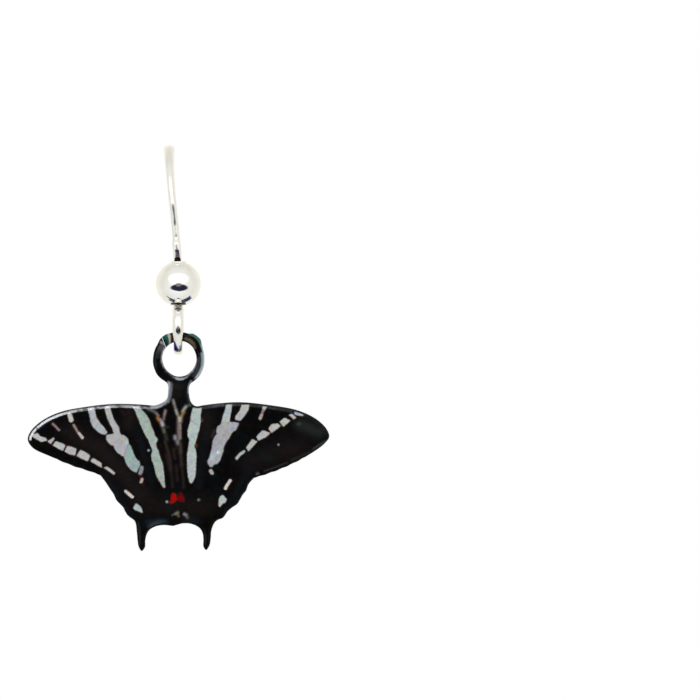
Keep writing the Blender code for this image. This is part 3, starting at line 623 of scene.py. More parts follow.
# ---- printed marks as distances ----------------------------------------------
def place(p):
    return np.array(((p[0] - GRID_ORIGIN[0]) / GRID, (GRID_ORIGIN[1] - p[1]) / GRID))


def rounded(line):
    """A closed outline with its corners cut once."""
    pts = [place(p) for p in line]
    out = []
    for a, b in zip(pts, pts[1:] + pts[:1]):
        cut = min(0.16, 0.055 / max(1e-6, float(np.linalg.norm(b - a))))
        out += [(1 - cut) * a + cut * b, cut * a + (1 - cut) * b]
    return np.array(out)


def signed_mark(points, outline):
    """Distance to a closed outline, positive inside."""
    lo, hi = outline.min(0) - 0.6, outline.max(0) + 0.6
    near = np.all((points > lo) & (points < hi), axis=1)
    out = np.full(len(points), -0.6)
    if near.any():
        p = points[near]
        d = polyline_distance(p, outline, True)
        out[near] = np.where(inside(p, outline), d, -np.minimum(d, 0.6))
    return out


def signed_stroke(points, line, width):
    pts = np.array([place(p) for p in line])
    lo, hi = pts.min(0) - 0.9, pts.max(0) + 0.9
    near = np.all((points > lo) & (points < hi), axis=1)
    out = np.full(len(points), -0.6)
    if near.any():
        d = polyline_distance(points[near], pts, False)
        out[near] = np.maximum(-0.6, 0.5 * width / GRID - d)
    return out


def all_marks():
    """(colour, function of points) for each mark."""
    out = []
    for colour, rows in STRIPES.values():
        line = [(l, v) for v, l, r in rows] + [(r, v) for v, l, r in rows[::-1]]
        out.append((colour, rounded(line), None))
    for colour, line in PATCHES.values():
        out.append((colour, rounded(line), None))
    for colour, width, line in DASHES.values():
        out.append((colour, line, width))
    for colour, radius, centre in DOTS.values():
        out.append((colour, [centre, (centre[0] + 0.01, centre[1])], 2 * radius))
    return out


def mark_field(points):
    """Signed distance to the nearest mark (positive inside) and its colour."""
    best = np.full(len(points), -0.6)
    tint = np.tile(np.array(PALE), (len(points), 1))
    for colour, shape, width in all_marks():
        d = signed_mark(points, shape) if width is None else signed_stroke(points, shape, width)
        win = d > best
        best[win] = d[win]
        tint[win] = colour
    return best, tint


def painted(points):
    """The vertex colours of the face: ground, ink tint and mark distance. Painted highlights and reflections lie in
    the ground and the tint.
    """
    edge, tint = mark_field(points)
    ground = np.tile(np.array((0.0007, 0.0006, 0.0007)), (len(points), 1))
    for colour, strength, width, line in WASHES:
        pts = np.array([place(p) for p in line])
        d = polyline_distance(points, pts, False) * GRID
        soft = 0.5 * width
        a = strength * np.exp(-(d / soft) ** 2 * 0.9)[:, None]
        ground = ground * (1 - a) + np.array(colour) * a
    near_ring = np.linalg.norm(points, axis=1) < 5.4

    def stroke_paint(rows, ground):
        for colour, strength, width, line in rows:
            pts = np.array([place(p) for p in line])
            d = polyline_distance(points, pts, False) * GRID
            a = (strength * smooth(1.5 - 1.25 * d / (0.5 * width)) * near_ring)[:, None]
            ground = ground * (1 - a) + np.array(colour) * a
        return ground

    # painted highlights on the ring's and neck's edges, and the ring's teal and bronze tones
    ground = stroke_paint(RING_HIGHLIGHTS_AND_TONES, ground)
    colour, line = END_FACE
    a = smooth(0.5 + signed_mark(points, np.array([place(p) for p in line])) * GRID / 0.9)[:, None]
    ground = ground * (1 - a) + np.array(colour) * a
    # painted highlight along the sawn end's edge
    ground = stroke_paint(END_LINES, ground)
    for centre, radius in HALOS:
        d = np.linalg.norm(points - place(centre), axis=1) * GRID
        a = (0.85 * smooth((radius - d) / (0.6 * radius)))[:, None]
        wash = ground.max(axis=1)[:, None] > 0.06
        ground = np.where(wash, ground, ground * (1 - a) + 0.0025 * a)
    for factor, width, line in SEAMS:
        pts = np.array([place(p) for p in line])
        d = polyline_distance(points, pts, False) * GRID
        a = np.exp(-(d / (0.5 * width)) ** 2)[:, None]
        tint = tint * (1 - a * (1 - factor))
    # painted highlights laid into the ink
    for colour, radius, centre in GLINTS:
        d = np.linalg.norm(points - place(centre), axis=1) * GRID
        a = np.exp(-(d / radius) ** 2 * 1.4)[:, None]
        tint = tint * (1 - a) + np.array(colour) * a
    return ground, tint, edge


# ---- the charm's mesh ---------------------------------------------------------
def grid_points(lo, hi, step):
    dz = step * math.sqrt(3) / 2
    nx, nz = int((hi[0] - lo[0]) / step) + 2, int((hi[1] - lo[1]) / dz) + 2
    ix, iz = np.meshgrid(np.arange(nx), np.arange(nz))
    x = lo[0] + step * (ix + 0.5 * (iz % 2))
    z = lo[1] + dz * iz
    return np.stack((x.ravel(), z.ravel()), axis=1)


def plate_profile(d):
    """Half thickness of the plate at a distance from its edge: an upright
    wall, an arc, a sloping land and a softly crowned flat."""
    slope = math.radians(RIM_SLOPE_DEG)
    turn = math.pi / 2 - slope
    arc_end = RIM_ARC * (1 - math.cos(turn))
    a = np.arccos(np.clip(1 - d / RIM_ARC, -1.0, 1.0))
    on_arc = RIM_WALL + RIM_ARC * np.sin(a)
    foot = RIM_WALL + RIM_ARC * math.sin(turn)
    land_end = 0.33
    on_land = foot + math.tan(slope) * (np.minimum(d, land_end) - arc_end)
    fade = np.clip((d - land_end) / 0.10, 0.0, 1.0)
    on_land = on_land + math.tan(slope) * 0.10 * (fade - 0.5 * fade ** 2)
    return np.where(d < arc_end, on_arc, on_land)


def ring_profile(d):
    """Half thickness of the ring: an upright wall and broad broken edges."""
    wall, arc_r = 0.09, 0.17
    turn = math.radians(45.0)
    arc_end = arc_r * (1 - math.cos(turn))
    a = np.arccos(np.clip(1 - d / arc_r, -1.0, 1.0))
    on_arc = wall + arc_r * np.sin(a)
    foot = wall + arc_r * math.sin(turn)
    land_end = 0.235
    on_land = foot + (np.minimum(d, land_end) - arc_end)
    fade = np.clip((d - land_end) / 0.07, 0.0, 1.0)
    on_land = on_land + 0.07 * (fade - 0.5 * fade ** 2)
    top = foot + (land_end - arc_end) + 0.035
    return np.where(d < arc_end, on_arc, on_land) * RING_HALF_DEPTH / top


def half_depth(points, rim, end):
    """Half the charm's thickness: ring section above, plate section below."""
    r = np.linalg.norm(points, axis=1)
    plate = smooth((r - 2.05) / 0.85) * (points[:, 1] < 0)
    crown = 0.045 * (1.0 - np.exp(-rim / 0.75))
    scale = (PLATE_HALF_THICK - 0.045) / float(plate_profile(np.array([1.0]))[0])
    h = plate * (plate_profile(rim) * scale + crown) + (1 - plate) * ring_profile(rim)
    h = np.where(rim < 1e-6, 0.0, h)
    t = np.clip(end / CUT_BEVEL, 0.0, 1.0)
    return h * np.sqrt(1.0 - (1.0 - t) ** 2)


def triangulate(points, loop_count, loop):
    flat = [Vector((float(x), float(z))) for x, z in points]
    edges = [(i, (i + 1) % loop_count) for i in range(loop_count)]
    verts, _, faces, orig, _, _ = delaunay_2d_cdt(flat, edges, [], 1, 1e-6)
    pts = np.array([tuple(v) for v in verts])
    tri = np.array([f for f in faces if len(f) == 3])
    keep = inside(pts[tri].mean(axis=1), loop)
    tri = tri[keep]
    is_edge = np.array([any(o < loop_count for o in src) for src in orig])
    return pts, tri, is_edge


def charm_mesh():
    loop, cut = charm_loop(OUTLINE_STEP)
    n = len(loop)
    rings = [inset_points(loop, cut, d) for d in RIM_STEPS]
    lo, hi = loop.min(0), loop.max(0)

    coarse = grid_points(lo, hi, FACE_STEP)
    fine = grid_points(lo, hi, FINE_STEP)
    e_coarse = mark_field(coarse)[0]
    e_fine = mark_field(fine)[0]
    on_ring = np.linalg.norm(coarse, axis=1) < 2.9
    on_ring_fine = np.linalg.norm(fine, axis=1) < 2.9
    front_grid = np.concatenate((coarse[(np.abs(e_coarse) > 0.10) & ~on_ring],
                                 fine[(np.abs(e_fine) <= 0.10) | on_ring_fine]))
    front_grid = front_grid[inside(front_grid, loop)]
    rim, end = edge_distances(front_grid, loop, cut)
    front_grid = front_grid[np.minimum(rim, end) > RIM_STEPS[-1] + 0.05]
    back_grid = grid_points(lo, hi, BACK_STEP)
    back_grid = back_grid[inside(back_grid, loop)]
    rim, end = edge_distances(back_grid, loop, cut)
    back_grid = back_grid[np.minimum(rim, end) > RIM_STEPS[-1] + 0.12]

    verts, tris, grounds, tints, edges_, rims = [], [], [], [], [], []
    shared = {}
    for side, grid, ring_set in ((-1, front_grid, rings), (1, back_grid, rings[::2])):
        cloud = np.concatenate([loop] + ring_set + [grid])
        pts, tri, is_edge = triangulate(cloud, n, loop)
        rim, end = edge_distances(pts, loop, cut)
        h = half_depth(pts, rim, end)
        h[is_edge] = 0
        ground, tint, edge = painted(pts)
        edge = np.minimum(edge, rim - 0.19)
        if side > 0:
            edge[:] = -0.6
            ground[:] = (0.0050, 0.0048, 0.0052)
            tint[:] = PALE
        index = np.zeros(len(pts), int)
        for i, p in enumerate(pts):
            key = (round(p[0], 5), round(p[1], 5))
            if is_edge[i] and key in shared:
                index[i] = shared[key]
                continue
            index[i] = len(verts)
            verts.append((p[0], side * h[i], p[1]))
            grounds.append(ground[i])
            tints.append(tint[i])
            edges_.append(edge[i])
            rims.append(rim[i])
            if is_edge[i]:
                shared[key] = index[i]
        order = tri if side < 0 else tri[:, ::-1]
        tris.append(index[order])
    verts = np.array(verts)
    tris = np.concatenate(tris)

    # the ring's upper arm is bent back towards its sawn end, and that end is
    # sawn aslant, so that its cut face shows from the front
    deg = np.degrees(np.arctan2(verts[:, 2], verts[:, 0]))
    r = np.hypot(verts[:, 0], verts[:, 2])
    far = (2.50 - r) / 0.90
    cut_line = RING_CUT_OUTER_DEG + (RING_CUT_INNER_DEG - RING_CUT_OUTER_DEG) * far
    brink = cut_line - RING_CUT_SLANT_DEG
    arm = (r < 2.75) & (deg > 25.0) & (deg < cut_line)
    t = smooth((deg - 40.0) / (RING_CUT_OUTER_DEG - 40.0)) * arm
    s = np.clip((deg - brink) / RING_CUT_SLANT_DEG, 0.0, 1.0) * arm
    y = verts[:, 1]
    aslant = y * (1.0 - s) + RING_CUT_REACH * s
    verts[:, 1] = np.where(arm, np.where(y > 0.02, np.maximum(y, RING_CUT_REACH * s), aslant), y)
    verts[:, 1] += RING_SET_BACK * t
    verts += np.array(RING_CENTRE)
    ringness = smooth((2.75 - r) / 0.30)
    gloss = gloss_values(verts - np.array(RING_CENTRE), np.array(rims), loop, ringness)
    return verts, tris, np.array(grounds), np.array(tints), np.array(edges_), gloss


def gloss_values(p, rim, loop, ringness):
    """How much clear coat lies on each point: thick on the upper rims and on
    the ring's broken edges, thin elsewhere."""
    flat = p[:, [0, 2]]
    best = np.full(len(flat), 1e9)
    face = np.zeros((len(flat), 2))
    along = np.roll(loop, -1, axis=0) - loop
    for k in range(len(loop)):
        a, d = loop[k], along[k]
        size = math.hypot(*d)
        if size < 1e-9:
            continue
        t = np.clip(((flat - a) @ d) / (size * size), 0.0, 1.0)[:, None]
        gap = np.linalg.norm(flat - (a + t * d), axis=1)
        win = gap < best
        best[win] = gap[win]
        face[win] = (d[1] / size, -d[0] / size)
    upward = face @ np.array((-0.50, 0.866))
    on_rim = smooth((0.43 - rim) / 0.07) * smooth((rim - 0.035) / 0.05)
    upper = smooth((upward + 0.05) / 0.45)
    across = GRID_ORIGIN[0] + flat[:, 0] * GRID
    shine = np.interp(across, [q for q, w in RIM_SHINE], [w for q, w in RIM_SHINE])
    tails = smooth((flat[:, 1] + 11.5) / 1.5)
    wing = on_rim * (0.015 * smooth((flat[:, 1] + 13.8) / 1.0) + 0.95 * upper * shine * tails)
    ring = smooth((0.33 - rim) / 0.07) * 0.04 + 0.02
    gloss = wing * (1 - ringness) + ring * ringness
    return np.where(p[:, 1] > 0.05, 0.35, gloss)


# ---- small helpers for meshes ----------------------------------------------------
def make_mesh(name, verts, faces, mat, smooth_shade=True):
    mesh = bpy.data.meshes.new(name)
    mesh.from_pydata((np.asarray(verts) * MM).tolist(), [], [tuple(f) for f in np.asarray(faces).tolist()]
                     if isinstance(faces, np.ndarray) else faces)
    mesh.materials.append(mat)
    if smooth_shade:
        mesh.shade_smooth()
    mesh.validate()
    obj = bpy.data.objects.new(name, mesh)
    bpy.context.scene.collection.objects.link(obj)
    return obj


def colour_attribute(mesh, name, values):
    attr = mesh.attributes.new(name, 'FLOAT_COLOR', 'POINT')
    rgba = np.ones((len(values), 4), np.float32)
    rgba[:, :3] = values
    attr.data.foreach_set("color", rgba.ravel())


def float_attribute(mesh, name, values):
    attr = mesh.attributes.new(name, 'FLOAT', 'POINT')
    attr.data.foreach_set("value", np.asarray(values, np.float32))


# ---- wire -------------------------------------------------------------------------
def lean(z):
    return LEAN_X * smoothstep((0.6 - z) / LEAN_LENGTH)


def belly(z):
    return BELLY * smoothstep((z - BELLY_Z[0]) / (BELLY_Z[1] - BELLY_Z[0]))


def wire_path():
    """(y, z, part, how far along the part) along the wire's centreline."""
    pts = []
    eye_z = EYE_BOTTOM_Z + EYE_RADIUS
    rho, r = EYE_NECK_RADIUS, EYE_RADIUS
    meet = math.asin(rho / (r + rho))
    shank_foot = eye_z + (r + rho) * math.cos(meet)
    first, last = math.radians(EYE_GAP_DEG), 2 * math.pi - meet
    n = 150
    for k in range(n + 1):
        a = first + (last - first) * k / n
        pts.append((LEG_Y + r * math.sin(a),
                    eye_z + r * math.cos(a) + EYE_SHOULDER * math.sin(a) ** 2, "eye", k / n))
    for k in range(1, 15):
        h = meet + (math.pi / 2 - meet) * k / 14
        pts.append((LEG_Y - rho * (1 - math.sin(h)), shank_foot - rho * math.cos(h),
                    "neck", k / 14))
    bend_z = BEND_HALF_THICK - BEND_RADIUS
    n = 190
    for k in range(1, n + 1):
        z = shank_foot + (bend_z - shank_foot) * k / n
        pts.append((LEG_Y - belly(z), z, "leg", k / n))
    n = 120
    for k in range(1, n + 1):
        a = math.pi * k / n
        forward = BELLY * (1.0 + math.cos(a)) / 2
        pts.append((LEG_Y * math.cos(a) - forward,
                    bend_z + BEND_RADIUS * math.sin(a), "bend", k / n))
    flare_z = BACK_LEG_END_Z + FLARE_LENGTH
    n = 70
    for k in range(1, n + 1):
        pts.append((-LEG_Y, bend_z + (flare_z - bend_z) * k / n, "back", k / n))
    sweep_angle = math.radians(FLARE_DEG)
    radius = FLARE_LENGTH / math.sin(sweep_angle)
    n = 40
    for k in range(1, n + 1):
        a = sweep_angle * k / n
        pts.append((-LEG_Y + radius * (1 - math.cos(a)),
                    flare_z - radius * math.sin(a), "flare", k / n))
    return pts


def wire_size(part, t, z):
    """Half width across the hook's plane, and half thickness in it."""
    if part == "eye":
        front = smoothstep((t - 0.64) / 0.12)
        wide = 0.38 + 0.12 * front
        deep = 0.36 + 0.14 * math.exp(-((t - 0.48) / 0.14) ** 2) + 0.08 * front
        wide += 0.03 * math.exp(-((t - 0.50) / 0.12) ** 2)
        return wide, deep
    if part == "neck":
        return 0.50 - 0.07 * smoothstep(1.6 * t), 0.37
    if part == "leg":
        foot = smoothstep((-12.9 - z) / 0.7)
        off = smoothstep((STOP_TOP_Z - z) / 0.6)
        deep_stop = min(1.0, max(0.0, (z - STOP_BOTTOM_Z) / STOP_TAPER)) * off
        wide_stop = smoothstep((z - STOP_BOTTOM_Z) / 0.25) * off
        wide = WIRE_HALF + 0.13 * foot + 0.09 * wide_stop
        deep = WIRE_HALF + 0.07 * foot + 0.29 * deep_stop
        return wide, deep
    if part == "bend":
        rise = math.sin(math.pi * t)
        wide = WIRE_HALF + (BEND_HALF_WIDE - WIRE_HALF) * rise ** 2.2
        return wide, WIRE_HALF + (BEND_HALF_THICK - WIRE_HALF) * rise
    return WIRE_HALF, WIRE_HALF


def section_twist(part, z):
    """Degrees by which the section is turned about the wire, and how flat its
    front is: the stretch under the bend was pressed a little askew."""
    if part != "leg":
        return 0.0, 0.0
    t = smoothstep((z + 8.2) / 0.8) * smoothstep((-2.2 - z) / 1.2)
    return 17.0 * t, t


def set_back(part, z):
    """The leg's stretch above the stop leans back by a hair."""
    if part != "leg":
        return 0.0
    rise = min(1.0, max(0.0, (z + 10.2) / 3.45))
    return 0.05 * rise * smoothstep((-4.72 - z) / 2.03)


def wire_mesh(sides=48):
    raw = wire_path()
    pts = [Vector((lean(z), y + set_back(part, z), z)) for y, z, part, t in raw]
    sizes = np.array([wire_size(part, t, z) for y, z, part, t in raw])
    # the section turns by a few small steps from one part to the next: soften them
    for _ in range(4):
        sizes[1:-1] = 0.25 * sizes[:-2] + 0.5 * sizes[1:-1] + 0.25 * sizes[2:]
    length = [0.0]
    for a, b in zip(pts, pts[1:]):
        length.append(length[-1] + (b - a).length)
    verts, faces, tarnish_and_shade, blue_sheen, haze = [], [], [], [], []
    total = length[-1]
    for i, p in enumerate(pts):
        y, z, part, part_t = raw[i]
        along = (pts[min(i + 1, len(pts) - 1)] - pts[max(i - 1, 0)]).normalized()
        across = Vector((1, 0, 0))
        across = (across - along * across.dot(along)).normalized()
        up = along.cross(across)
        near = min(length[i], total - length[i]) / 0.30      # rounded ends
        shrink = math.sqrt(max(0.0, 1.0 - (1.0 - min(1.0, near)) ** 2))
        shrink = max(shrink, 0.12)
        a, b = sizes[i] * shrink
        twist, flat = section_twist(part, z)
        c1, s1 = math.cos(math.radians(twist)), math.sin(math.radians(twist))
        across, up = across * c1 + up * s1, up * c1 - across * s1
        b = b * (1 + 0.26 * flat)
        on_stop = 0.0
        if part == "leg":
            on_stop = smoothstep((z - STOP_BOTTOM_Z) / 0.2) * smoothstep((STOP_TOP_Z - z) / 0.6)
        on_eye = math.exp(-((part_t - 0.50) / 0.16) ** 2) if part == "eye" else 0.0
        power = 2.0 + 0.9 * on_stop + 1.0 * on_eye
        for k in range(sides):
            t = 2 * math.pi * (k + 0.5) / sides
            c, d = math.cos(t), math.sin(t)
            c = math.copysign(abs(c) ** (2 / power), c)
            d = math.copysign(abs(d) ** (2 / power), d)
            verts.append(p + across * (a * c) + up * (b * d))
            foot = 0.0
            if part == "leg":
                # a dark brown band on the front that widens down the taper to the stop's foot
                above = z - STOP_BOTTOM_Z
                middle = smoothstep((0.30 - 0.18 * above - abs(a * c)) / 0.10 + 0.5)
                foot = middle * (up.y * b * d < 0) * smoothstep((above + 0.06) / 0.06)
                foot *= 0.9 * smoothstep((0.36 - above) / 0.20) + 0.42 * smoothstep((0.80 - above) / 0.30)
                foot = min(1.0, foot)
            if part == "bend":
                # dull along the pressed top's edges
                foot = 0.42 * math.sin(math.pi * part_t) ** 3 * abs(c) ** 4
            spot = p + across * (a * c) + up * (b * d)
            hue_patch = 0.0
            if part == "eye" and spot.y < p.y and spot.z < -16.9 and spot.y < LEG_Y:
                # low on the eye: a painted blue reflection on one side, and a brown tone on the other
                low = smoothstep((-17.02 - spot.z) / 0.14) * smoothstep((spot.z + 18.03) / 0.16)
                edge = 0.59 - 0.42 * (spot.z + 17.12)
                hue_patch = 0.88 * low * smoothstep((edge - spot.x) / 0.12 + 0.5)
                foot = 0.50 * smoothstep((-17.38 - spot.z) / 0.14) * smoothstep((spot.z + 18.02) / 0.10) \
                    * smoothstep((spot.x - edge - 0.06) / 0.10) * smoothstep((1.26 - spot.x) / 0.08)
            tarnish_and_shade.append(foot)
            blue_sheen.append(hue_patch)
            if part == "leg":
                haze.append(smoothstep((-3.4 - z) / 0.8) * smoothstep((z + 8.6) / 0.6)
                            + 1.6 * smoothstep((-12.6 - z) / 0.5))
            elif part == "eye":
                haze.append(0.4 * smoothstep((part_t - 0.52) / 0.08) * smoothstep((0.74 - part_t) / 0.06)
                            + 1.6 * smoothstep((part_t - 0.90) / 0.06))
            else:
                haze.append(1.6 if part == "neck" else 0.0)
    m = len(pts)
    for i in range(m - 1):
        for k in range(sides):
            j = (k + 1) % sides
            faces.append((i * sides + k, i * sides + j, (i + 1) * sides + j, (i + 1) * sides + k))
    for i, flip in ((0, True), (m - 1, False)):
        centre = len(verts)
        verts.append(pts[i])
        tarnish_and_shade.append(0.0)
        blue_sheen.append(0.0)
        haze.append(0.0)
        for k in range(sides):
            j = (k + 1) % sides
            tri = (i * sides + k, i * sides + j, centre)
            faces.append(tri[::-1] if flip else tri)
    return np.array([tuple(v) for v in verts]), faces, np.array(tarnish_and_shade), np.array(blue_sheen), np.array(haze)


def bead_mesh(segments=144):
    """The ball, with a small collar round each mouth of its hole, and painted shade in the upper groove and beside
    the lower mouth.
    """
    lip, r = BEAD_LIP_RADIUS, BEAD_RADIUS
    lip_foot = math.sqrt(r ** 2 - lip ** 2)
    top = math.asin(lip_foot / r)
    # up the hole's wall, over the collar's rolled top, down to the ball
    end = [(BEAD_HOLE_RADIUS, BEAD_LIP_Z - 0.16), (BEAD_HOLE_RADIUS, BEAD_LIP_Z - 0.07)]
    for k in range(1, 6):
        a = math.pi / 2 * k / 5
        end.append((BEAD_HOLE_RADIUS + 0.07 * (1 - math.cos(a)), BEAD_LIP_Z - 0.07 + 0.07 * math.sin(a)))
    for k in range(0, 6):
        a = math.pi / 2 * k / 5
        end.append((lip - 0.05 + 0.05 * math.sin(a), BEAD_LIP_Z - 0.05 + 0.05 * math.cos(a)))
    tone = [0.0] * (len(end) - 4) + [0.5, 1.0, 1.0, 1.0]
    # a narrow groove between the collar and the ball
    end.append((lip + 0.004, lip_foot + 0.006))
    tone.append(1.0)
    profile = list(end)
    n = 110
    ball = [top - 2 * top * k / n for k in range(1, n)]
    profile += [(r * math.cos(a), r * math.sin(a)) for a in ball]
    low_tone = [0.0] * len(tone)
    # the groove at the upper mouth is painted a little dark: painted shade
    tone = [0.0] * (len(tone) - 1) + [0.35] + [0.0] * len(ball) + low_tone
    # the lower mouth is nearly flush with the ball
    profile += [(q, -(lip_foot + (z - lip_foot) * (0.2 if z > lip_foot else 1.0))) for q, z in end[::-1]]
    rows = len(profile)
    verts, faces, tarnish_and_shade = [], [], []
    for q in range(segments):
        a = 2 * math.pi * q / segments
        verts += [(w * math.cos(a), w * math.sin(a), z) for w, z in profile]
        for (w, z), t in zip(profile, tone):
            # painted shadow: a dark band low on the ball, front and back, beside the lower mouth
            if z < -1.5 and w > lip:
                side = smoothstep((0.72 - abs(w * math.cos(a))) / 0.09)
                t = side * smoothstep((-1.655 - z) / 0.05) * smoothstep((z + 1.90) / 0.03)
            tarnish_and_shade.append(t)
    for q in range(segments):
        nxt = (q + 1) % segments
        for k in range(rows):
            j = (k + 1) % rows
            faces.append((q * rows + k, q * rows + j, nxt * rows + j, nxt * rows + k))
    return np.array(verts) + np.array(BEAD_CENTRE), faces, np.array(tarnish_and_shade)


# ---- materials ------------------------------------------------------------------------
class Graph:
    """Short names for making shader nodes."""

    def __init__(self, tree):
        self.tree = tree
        tree.nodes.clear()

    def node(self, kind, **values):
        n = self.tree.nodes.new(kind)
        for key, value in values.items():
            setattr(n, key, value)
        return n

    def link(self, a, b):
        self.tree.links.new(a, b)

    def feed(self, socket, value):
        if isinstance(value, bpy.types.NodeSocket):
            self.link(value, socket)
        else:
            socket.default_value = value

    def math(self, op, a, b=None, c=None, clamp=False):
        n = self.node("ShaderNodeMath", operation=op, use_clamp=clamp)
        for i, v in enumerate((a, b, c)):
            if v is not None:
                self.feed(n.inputs[i], v)
        return n.outputs[0]

    def mix(self, factor, a, b, blend='MIX'):
        n = self.node("ShaderNodeMix", data_type='RGBA', blend_type=blend)
        self.feed(n.inputs[0], factor)
        self.feed(n.inputs[6], a if isinstance(a, bpy.types.NodeSocket) else (*a, 1.0))
        self.feed(n.inputs[7], b if isinstance(b, bpy.types.NodeSocket) else (*b, 1.0))
        return n.outputs[2]

    def ramp(self, value, low, high, to_low=0.0, to_high=1.0, soft=True):
        n = self.node("ShaderNodeMapRange", interpolation_type='SMOOTHSTEP' if soft else 'LINEAR')
        self.feed(n.inputs[0], value)
        for i, v in zip((1, 2, 3, 4), (low, high, to_low, to_high)):
            n.inputs[i].default_value = v
        return n.outputs[0]

    def noise(self, vector, scale, detail=3.0, rough=0.5, warp=0.0):
        n = self.node("ShaderNodeTexNoise")
        self.link(vector, n.inputs["Vector"])
        n.inputs["Scale"].default_value = scale
        n.inputs["Detail"].default_value = detail
        n.inputs["Roughness"].default_value = rough
        n.inputs["Distortion"].default_value = warp
        return n.outputs["Fac"]

    def stretched(self, vector, scale, turn=(0, 0, 0)):
        n = self.node("ShaderNodeMapping")
        self.link(vector, n.inputs["Vector"])
        n.inputs["Rotation"].default_value = turn
        n.inputs["Scale"].default_value = scale
        return n.outputs[0]

    def bump(self, height, distance, strength=1.0, normal=None):
        n = self.node("ShaderNodeBump")
        n.inputs["Strength"].default_value = strength
        n.inputs["Distance"].default_value = distance
        self.link(height, n.inputs["Height"])
        if normal is not None:
            self.link(normal, n.inputs["Normal"])
        return n.outputs[0]


def new_material(name):
    mat = bpy.data.materials.new(name)
    mat.use_nodes = True
    g = Graph(mat.node_tree)
    shader = g.node("ShaderNodeBsdfPrincipled")
    out = g.node("ShaderNodeOutputMaterial")
    g.link(shader.outputs[0], out.inputs[0])
    coords = g.node("ShaderNodeTexCoord").outputs["Object"]
    return mat, g, shader, coords


def silver_material(name, polish, tone):
    """Polished silver plate: soft cloudy wear, hairline scratches, tiny pits."""
    mat, g, shader, co = new_material(name)
    cloud = g.noise(co, 900.0, 3.0, 0.55)
    fine = g.noise(co, 5200.0, 2.0, 0.5)
    lines = g.noise(g.stretched(co, (9000.0, 9000.0, 700.0), (0.25, 0.15, 0.0)), 1.0, 2.0, 0.6)
    cross = g.noise(g.stretched(co, (900.0, 7000.0, 9500.0), (0.5, 0.3, 0.4)), 1.0, 2.0, 0.6)
    scratch = g.math('MAXIMUM', g.ramp(lines, 0.62, 0.74), g.ramp(cross, 0.66, 0.76))
    colour = g.mix(g.ramp(cloud, 0.3, 0.7), tone, tuple(c * f for c, f in zip(tone, (0.95, 0.935, 0.90))))
    colour = g.mix(g.math('MULTIPLY', scratch, 0.10), colour, (0.62, 0.60, 0.56))
    # dark brown from the mesh: painted shade on the ball, dull edges on the bend, brown marks on the stop and eye
    dark = g.node("ShaderNodeAttribute", attribute_name="tarnish_and_shade").outputs["Fac"]
    dark = g.math('MULTIPLY', dark, g.ramp(fine, 0.20, 0.60, 0.75, 1.0))
    colour = g.mix(g.ramp(dark, 0.15, 0.85), colour, (0.030, 0.018, 0.012))
    # painted blue reflection low on the eye
    blue_sheen = g.node("ShaderNodeAttribute", attribute_name="blue_sheen").outputs["Fac"]
    colour = g.mix(g.ramp(blue_sheen, 0.10, 0.90), colour, (0.030, 0.040, 0.300))
    haze = g.node("ShaderNodeAttribute", attribute_name="haze").outputs["Fac"]
    g.link(colour, shader.inputs["Base Color"])
    rough = g.math('ADD', g.ramp(cloud, 0.25, 0.75, polish, polish + 0.03),
                   g.math('MULTIPLY', scratch, 0.05))
    rough = g.math('ADD', rough, g.math('MULTIPLY', dark, 0.22))
    rough = g.math('ADD', rough, g.math('MULTIPLY', haze, 0.14))
    g.link(rough, shader.inputs["Roughness"])
    shader.inputs["Metallic"].default_value = 1.0
    height = g.math('ADD', g.math('MULTIPLY', fine, 0.35), g.math('MULTIPLY', scratch, -0.5))
    normal = g.bump(height, 0.0000012, 1.0)
    wave = g.bump(cloud, 0.000004, 1.0, normal)
    g.link(wave, shader.inputs["Normal"])
    return mat


